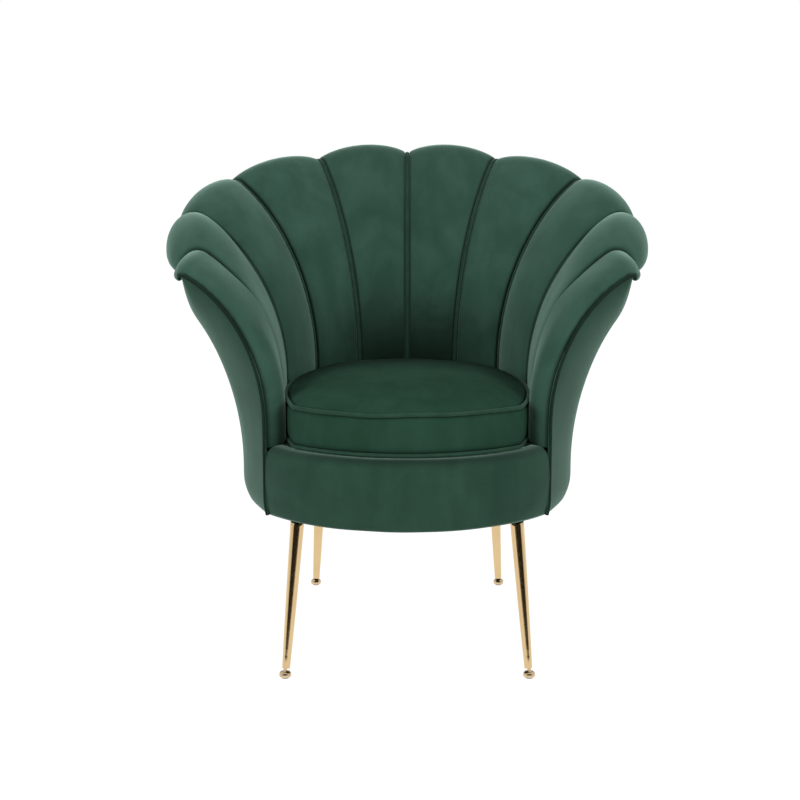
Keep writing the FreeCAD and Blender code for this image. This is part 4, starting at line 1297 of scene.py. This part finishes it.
shape[:, 2] += wobble(shape, *cushionForm["uneven"]) * smoothstep(cushionLow + 0.02, weltHigh, shape[:, 2])
setPoints(finer, shape)
# painted shade beside the welts and towards the back of the top
rearShade = cushionForm["rearShade"] * smoothstep(*cushionForm["rearShadeFrom"], shape[:, 1] - originY)
strength, width = cushionForm["crease"]
onTop = smoothstep(weltHigh, weltHigh + 0.01, shape[:, 2])
pointValues(finer, "fold", np.maximum(strength * np.exp(-(near / width) ** 2), rearShade * onTop))
finer.materials.clear()
finer.materials.append(velvetSeatPaintedShade)
finer.shade_smooth()

weltPaths = []
for height in (weltLow, weltHigh):
    outline = cushionOutline(cushionForm["welt"] + cushionForm["weltIn"])
    x, y = outline[:, 0], outline[:, 1] + originY
    z = np.full(len(outline), height)
    if height == weltHigh:
        z = z + sag(x, y) + wobble(np.column_stack([x, y, z]), *cushionForm["uneven"])
    away = np.column_stack([x - middle[0], y - middle[1], np.zeros(len(x))])
    away /= np.linalg.norm(away, axis=1)[:, None]
    weltPaths.append((list(np.column_stack([x, y, z])), list(away), [1] * len(x)))
welts = sweptCords("cushion_welts", weltPaths, cordForm["weltWidth"], cordForm["weltWidth"], velvetWeltPaintedShade,
                   closed=True, seed=2)
print("cushion made")


# Seat deck and dust cover

clothForm = {
    "deckRings": 26,
    "deckStitch": 0.86,         # where the stitched band lies, as a share of the way out
    "deckPuff": 0.0014,
    "deckUneven": (22, 0.0004, 6),      # scale, height and seed
    "deckInset": 0.010,                 # it runs under the channels by this much
    "dustSag": 0.003,
    "dustUneven": (18, 0.0012, 9),
    "dustRings": 20,
    "points": 160,                      # round each cloth
    "stapleEvery": 0.034,
    "stapleSlant": 0.18,
    "staplePoints": 200,                # along the path they follow
    "stapleInset": 0.009,
    "stapleSize": (0.010, 0.0012, 0.0009),
}


def clothPlate(name, outline, middle, rings, top, bottom, material, shape):
    # flat closed cloth over an outline; shape gives height and painted shade by place and share of the way
    # out
    shares = np.linspace(0.02, 1, rings)
    points, fold = [], []
    for level, order in ((top, shares), (bottom, shares[::-1])):
        for share in order:
            ringPoints = middle + (outline - middle) * share
            lift, dark = shape(ringPoints, share)
            points.append(np.column_stack([ringPoints, level + lift]))
            fold.append(np.full(len(outline), dark))
    return ringPiece(name, points, material, np.concatenate(fold))


def deckShape(ringPoints, share):
    band = math.exp(-((share - clothForm["deckStitch"]) / 0.012) ** 2)
    flat = np.column_stack([ringPoints, np.zeros(len(ringPoints))])
    lift = wobble(flat, *clothForm["deckUneven"]) - clothForm["deckUneven"][1] - clothForm["deckPuff"] * band
    return lift, band


def dustShape(ringPoints, share):
    band = math.exp(-((share - 0.955) / 0.006) ** 2)
    flat = np.column_stack([ringPoints, np.zeros(len(ringPoints))])
    middle = 1 - float(smoothstep(0.45, 0.9, share))
    return wobble(flat, *clothForm["dustUneven"]) * middle - clothForm["dustSag"] * middle, band


deckReach = apronRadius - apronForm["deckGap"]
side = frontEdge.foot
cornerY = apronCentreY - math.sqrt(deckReach ** 2 - side[0] ** 2)
deckSide = [seam.point(clothForm["deckInset"], 0)[:2] for seam in ring[:-1]]
deckSide += [side[:2] + [0, originY], np.array([side[0], cornerY + originY])]
turn = math.asin(side[0] / deckReach)
deckFront = [np.array([deckReach * math.sin(a), originY + apronCentreY - deckReach * math.cos(a)])
             for a in np.linspace(turn, -turn, 25)[1:-1]]
deckOutline = deckSide + deckFront + [p * [-1, 1] for p in deckSide[:0:-1]]
deckLow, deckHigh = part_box("seat_deck")
deck = clothPlate("platform_cloth", evenly(np.array(deckOutline), clothForm["points"]),
                  np.array([0, originY - 0.08]), clothForm["deckRings"], deckHigh.z, deckLow.z + 0.001,
                  deckCloth, deckShape)

dustLow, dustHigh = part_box("dust_cover")
inset = shellForm["baseHalfWidth"] - dustHigh.x


def ovalOutline(inset, count):
    points = []
    for k in range(240):
        angle = 2 * math.pi * k / 240
        x = (shellForm["baseHalfWidth"] - inset) * math.cos(angle)
        y = shellForm["baseCentreY"] + (shellForm["baseHalfDepth"] - inset) * math.sin(angle)
        front = apronCentreY - math.sqrt(max((apronRadius - inset) ** 2 - x * x, 0))
        points.append((x, max(y, front) + originY))
    return evenly(np.array(points), count)


dust = clothPlate("dust_cover_cloth", ovalOutline(inset, clothForm["points"]),
                  np.array([0, originY + shellForm["baseCentreY"]]), clothForm["dustRings"],
                  dustHigh.z, dustLow.z, lining, dustShape)


def stapleTree():
    # staples at even steps along a closed path, each turned along it and a little askew
    graph, given = nodeTree("staples", Spacing="Float", Size="Vector", Slant="Float", Seed="Int")
    curve = graph.add("GeometryNodeMeshToCurve", {}, {0: given["Geometry"]})
    steps = graph.add("GeometryNodeCurveToPoints", {"mode": "LENGTH"},
                      {"Curve": curve, "Length": given["Spacing"]})
    tangent = Signal(graph, steps.socket.node.outputs["Tangent"])
    wire = graph.add("GeometryNodeMeshCube", {}, {"Size": given["Size"]})
    align = graph.add("FunctionNodeAlignRotationToVector", {"axis": "X"}, {"Vector": tangent})
    jitter = graph.add("FunctionNodeRandomValue", {},
                       {2: -1 * given["Slant"], 3: given["Slant"], "Seed": given["Seed"]}, 1)
    spin = graph.add("ShaderNodeCombineXYZ", {}, {2: jitter})
    askew = graph.add("FunctionNodeEulerToRotation", {}, {0: spin})
    turn = graph.add("FunctionNodeRotateRotation", {"rotation_space": "LOCAL"}, {0: align, 1: askew})
    placed = graph.add("GeometryNodeInstanceOnPoints", {},
                       {"Points": steps, "Instance": wire, "Rotation": turn})
    return dressedTree(graph, placed, given["Finish"])


count = clothForm["staplePoints"]
staplePath = ovalOutline(inset + clothForm["stapleInset"], count)
stapleMesh = bpy.data.meshes.new("staples")
stapleMesh.from_pydata([(x, y, dustLow.z - 0.0002) for x, y in staplePath],
                       [(i, (i + 1) % count) for i in range(count)], [])
staples = bpy.data.objects.new("staples", stapleMesh)
scene.collection.objects.link(staples)
staples.data = plainMesh(staples, stapleTree(), {
    "Spacing": clothForm["stapleEvery"], "Size": clothForm["stapleSize"],
    "Slant": clothForm["stapleSlant"], "Seed": 3, "Finish": zinc})
print("deck and dust cover made")


# Legs and glides: turned, the legs on their own slanted axes and the glides upright

legForm = {
    "top": 0.0114,
    "tip": 0.0064,
    "swell": 0.0004,        # a slight belly halfway down
    "tipRound": 0.0008,
    "wall": 0.0012,
    "lip": 0.004,           # how far the wall is seen inside the tip
    "overGlide": 0.0006,    # the tip clears the glide's dome by this much
    "topGap": 0.0035,       # the leg stops this far short of the seat box
    "rings": 14,
    "sides": 64,
    "glide": 0.0097,
    "glideFoot": 0.0064,    # radius on the floor
    "glideRim": (0.0040, 0.0056),   # the upright edge, from and to this height
    "glideHeight": 0.0125,
    "glideNeck": 0.0046,
    "glidePad": 0.0014,
    "stem": (0.0029, 0.004),        # its radius, and its length over the dome
}


def turned(name, profile, start, axis, material):
    # a round piece about a slanted axis; profile: radius and distance along the axis
    sides = legForm["sides"]
    axis = np.array(axis, float) / np.linalg.norm(axis)
    side = np.cross(axis, [0, 1, 0])
    side /= np.linalg.norm(side)
    other = np.cross(axis, side)
    rings = []
    for radius, distance in profile:
        ringPoints = []
        for k in range(sides):
            angle = 2 * math.pi * k / sides
            ringPoints.append(np.array(start) + axis * distance
                              + (side * math.cos(angle) + other * math.sin(angle)) * max(radius, 1e-5))
        rings.append(ringPoints)
    return ringPiece(name, rings, material)


def rounded(points, radius, steps=4):
    # profile with its inner corners rounded by short arcs
    points = [np.array(p, float) for p in points]
    out = [points[0]]
    for before, here, after in zip(points, points[1:], points[2:]):
        into, away = before - here, after - here
        cut = min(radius, np.linalg.norm(into) / 2.01, np.linalg.norm(away) / 2.01)
        a = here + into / np.linalg.norm(into) * cut
        b = here + away / np.linalg.norm(away) * cut
        for k in range(steps + 1):
            t = k / steps
            out.append(a * (1 - t) ** 2 + here * 2 * t * (1 - t) + b * t ** 2)
    out.append(points[-1])
    return [tuple(p) for p in out]


legPieces = {}
for end in ("front", "rear"):
    node = "leg_%s_right" % end
    joint = next(j for j in frame["joints"] if j["name"] == "glide_%s_right_screw" % end)
    axis = np.array(joint["axis"], float)
    low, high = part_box("glide_%s_right" % end)
    coords = meshPoints(frame["nodes"]["glide_%s_right" % end].data)
    base = coords[coords[:, 2] < low.z + 0.0005]
    foot = np.array([*(base[:, :2].min(axis=0) + base[:, :2].max(axis=0)) / 2, 0])
    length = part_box(node)[1].z / -axis[2]
    tilt = math.acos(-axis[2])
    r0, r1 = legForm["tip"], legForm["top"]
    tipStart = (legForm["glideHeight"] + r0 * math.sin(tilt) + legForm["overGlide"]) / -axis[2]
    slope = (r1 - r0) / (length - tipStart)
    inside = r0 - legForm["wall"]
    profile = [(inside, tipStart + legForm["lip"]), (inside, tipStart), (r0, tipStart),
               (r0 + slope * 0.02, tipStart + 0.02)]
    for d in np.linspace(tipStart + 0.03, length - legForm["topGap"], legForm["rings"]):
        share = (d - tipStart) / (length - tipStart)
        profile.append((r0 + slope * (d - tipStart) + legForm["swell"] * math.sin(math.pi * share), d))
    piece = turned("gold_leg_%s_right" % end, rounded(profile, legForm["tipRound"]), foot, -axis, gold)
    legPieces[node] = [piece]
    legPieces["leg_%s_left" % end] = [mirrorPiece(piece, "gold_leg_%s_left" % end)]
    dome = legForm["glideHeight"]
    outer = legForm["glide"]
    rimLow, rim = legForm["glideRim"]
    pad = legForm["glidePad"]
    base = legForm["glideFoot"]
    shapeOf = [(0.0, pad), (base, pad)]
    for k in range(1, 6):
        angle = math.pi / 2 * k / 5
        shapeOf.append((base + (outer - base) * math.sin(angle),
                        pad + (rimLow - pad) * (1 - math.cos(angle))))
    shapeOf.append((outer, rim))
    for k in range(1, 11):
        angle = math.pi / 2 * k / 10
        shapeOf.append((legForm["glideNeck"] + (outer - legForm["glideNeck"]) * math.cos(angle),
                        rim + (dome - 0.0015 - rim) * math.sin(angle)))
    stem, over = legForm["stem"]
    shapeOf += [(stem, dome), (stem, dome + over), (0.0, dome + over)]
    top = turned("glide_dome_%s_right" % end, rounded(shapeOf, 0.0005, 3), foot, (0, 0, 1), glideGold)
    under = [(0.0, 0.0), (base - 0.0004, 0.0), (base - 0.0002, pad - 0.0002), (0.0, pad - 0.0002)]
    sole = turned("glide_sole_%s_right" % end, rounded(under, 0.0003, 3), foot, (0, 0, 1), glidePad)
    legPieces["glide_%s_right" % end] = [top, sole]
    legPieces["glide_%s_left" % end] = [mirrorPiece(top, "glide_dome_%s_left" % end),
                                        mirrorPiece(sole, "glide_sole_%s_left" % end)]
print("legs and glides made")


# Hidden frame: the model's own pieces, finished

hiddenFinishes = {
    "rail_front": beech, "rail_back": beech, "rail_left": pine, "rail_right": pine,
    "joint_blocks": pine, "spring_rail": beech, "back_ribs": plywood, "arm_front_posts": pine,
    "rim_rails": beech, "belt_rails": pine, "seat_springs": springSteel, "spring_clips": zinc,
    "leg_plates": zinc, "leg_screws": zinc,
    "glide_inserts": nylon,
}
for name, material in hiddenFinishes.items():
    node = frame["nodes"][name]
    node.data.materials.clear()
    node.data.materials.append(material)
print("frame finished:", len(hiddenFinishes))


# What each piece rides on and stands for

for name, piece in pads.items():
    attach(piece, "chair")
    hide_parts(name)
for side, piece in (("right", armRight), ("left", armLeft)):
    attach(piece, "chair")
    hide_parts("channel_pad_%s_4" % side, "channel_pad_%s_5" % side)
for piece, node, slot in ((deck, "seat_deck", "deck_cloth"), (dust, "dust_cover", "lining")):
    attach(piece, "chair")
    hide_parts(node)
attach(staples, "chair")
for piece, node in ((seamCords, "channel_piping"), (frontCordRight, "front_edge_piping_right"),
                    (frontCordLeft, "front_edge_piping_left"), (coverRight, "outer_panel_right"),
                    (coverLeft, "outer_panel_left"), (coverBack, "outer_panel_back"), (apron, "apron_cover")):
    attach(piece, "chair")
    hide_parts(node)
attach(cushion, "seat_cushion")
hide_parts("cushion_cover")
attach(foam, "seat_cushion")
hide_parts("cushion_foam")
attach(welts, "seat_cushion")
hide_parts("cushion_piping")
for node, made in legPieces.items():
    for piece in made:
        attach(piece, "chair" if node.startswith("leg") else node + "_body")
        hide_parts(node)


# Stage, light and camera

stageForm = {
    "focal": 63.36,
    "place": (0, -2.426, 0.809),
    "pitch": 9.70,          # degrees down
    "shift": -0.009,
    "world": 0.50,
    "key": 66, "keyPlace": (-2.5, -2.7, 1.9), "keySize": 2.0,
    "fill": 66, "fillPlace": (2.6, -2.6, 1.9), "fillSize": 2.0,
    "top": 5, "topPlace": (0, 0.3, 2.9), "topSize": 2.2,
}


def areaLight(name, power, place, size, target=(0, 0, 0.5)):
    light = bpy.data.lights.new(name, "AREA")
    light.shape = "DISK"
    light.size = size
    light.energy = power
    lamp = bpy.data.objects.new(name, light)
    lamp.location = place
    lamp.rotation_euler = (Vector(target) - Vector(place)).to_track_quat("-Z", "Y").to_euler()
    lamp.visible_glossy = False     # the legs mirror the world's painted reflection, not the lamps
    scene.collection.objects.link(lamp)


for name in ("key", "fill", "top"):
    areaLight(name + "_light", stageForm[name], stageForm[name + "Place"], stageForm[name + "Size"])

world = bpy.data.worlds.new("studio")
scene.world = world
world.use_nodes = True
graph = Graph(world.node_tree)
path = "ShaderNodeLightPath"
seen = graph.add(path, {}, {}, "Is Camera Ray")
glossy = graph.add(path, {}, {}, "Is Glossy Ray")
ray = graph.add("ShaderNodeTexCoord", {}, {}, "Generated")
parts = graph.add("ShaderNodeSeparateXYZ", {}, {"Vector": ray})
north = Signal(graph, parts.socket.node.outputs[1])
rise = Signal(graph, parts.socket.node.outputs[2])
# painted reflection, seen by glossy rays alone: a dark patch ahead and a warm tint behind, which the legs
# mirror
ahead = graph.ramp(0 - north, 0.48, 0.70)
above = graph.ramp(rise, 0.0, 0.03)
gloom = ahead * above
mirrored = graph.blend((1, 1, 1, 1), (0.03, 0.024, 0.018, 1), gloom)
mirrored = graph.blend(mirrored, (0.34, 0.28, 0.2, 1), graph.ramp(north, 0.45, 0.9) * 0.7)
light = graph.add("ShaderNodeBackground", {}, {"Color": (1, 1, 1, 1), "Strength": stageForm["world"]})
shown = graph.add("ShaderNodeBackground", {}, {"Color": (1, 1, 1, 1), "Strength": 1.0})
reflected = graph.add("ShaderNodeBackground", {}, {"Color": mirrored, "Strength": 0.95})
mixed = graph.add("ShaderNodeMixShader", {}, {0: glossy, 1: light, 2: reflected})
mixed = graph.add("ShaderNodeMixShader", {}, {0: seen, 1: mixed, 2: shown})
graph.add("ShaderNodeOutputWorld", {}, {"Surface": mixed})

floorMesh = bpy.data.meshes.new("floor")
floorMesh.from_pydata([(-30, -30, 0), (30, -30, 0), (30, 30, 0), (-30, 30, 0)], [], [(0, 1, 2, 3)])
floor = bpy.data.objects.new("floor", floorMesh)
scene.collection.objects.link(floor)
paper = bpy.data.materials.new("studio paper")
paper.use_nodes = True
graph = Graph(paper.node_tree)
seen = graph.add(path, {}, {}, "Is Camera Ray")
glossy = graph.add(path, {}, {}, "Is Glossy Ray")
through = graph.add(path, {}, {}, "Is Transmission Ray")
lit = graph.add("ShaderNodeBsdfDiffuse", {}, {"Color": (0.8, 0.8, 0.8, 1)})
white = graph.add("ShaderNodeEmission", {}, {"Color": (1, 1, 1, 1), "Strength": 1.2})
share = graph.add("ShaderNodeMath", {"operation": "MAXIMUM"}, {0: seen * 0.80, 1: glossy})
share = graph.add("ShaderNodeMath", {"operation": "MAXIMUM"}, {0: share, 1: through})
sheet = graph.add("ShaderNodeMixShader", {}, {0: share, 1: lit, 2: white})
under = graph.add("ShaderNodeNewGeometry", {}, {}, "Backfacing")
clear = graph.add("ShaderNodeBsdfTransparent")
sheet = graph.add("ShaderNodeMixShader", {}, {0: under, 1: sheet, 2: clear})    # clear when seen from below
graph.add("ShaderNodeOutputMaterial", {}, {"Surface": sheet})
floorMesh.materials.append(paper)

camera = bpy.data.objects.new("camera", bpy.data.cameras.new("camera"))
camera.data.lens = stageForm["focal"]
camera.data.sensor_width = 36
camera.data.shift_x = stageForm["shift"]
camera.location = stageForm["place"]
camera.rotation_euler = Euler((math.radians(90 - stageForm["pitch"]), 0, 0))
scene.collection.objects.link(camera)
scene.camera = camera
scene.view_settings.view_transform = "Standard"
print("stage set")
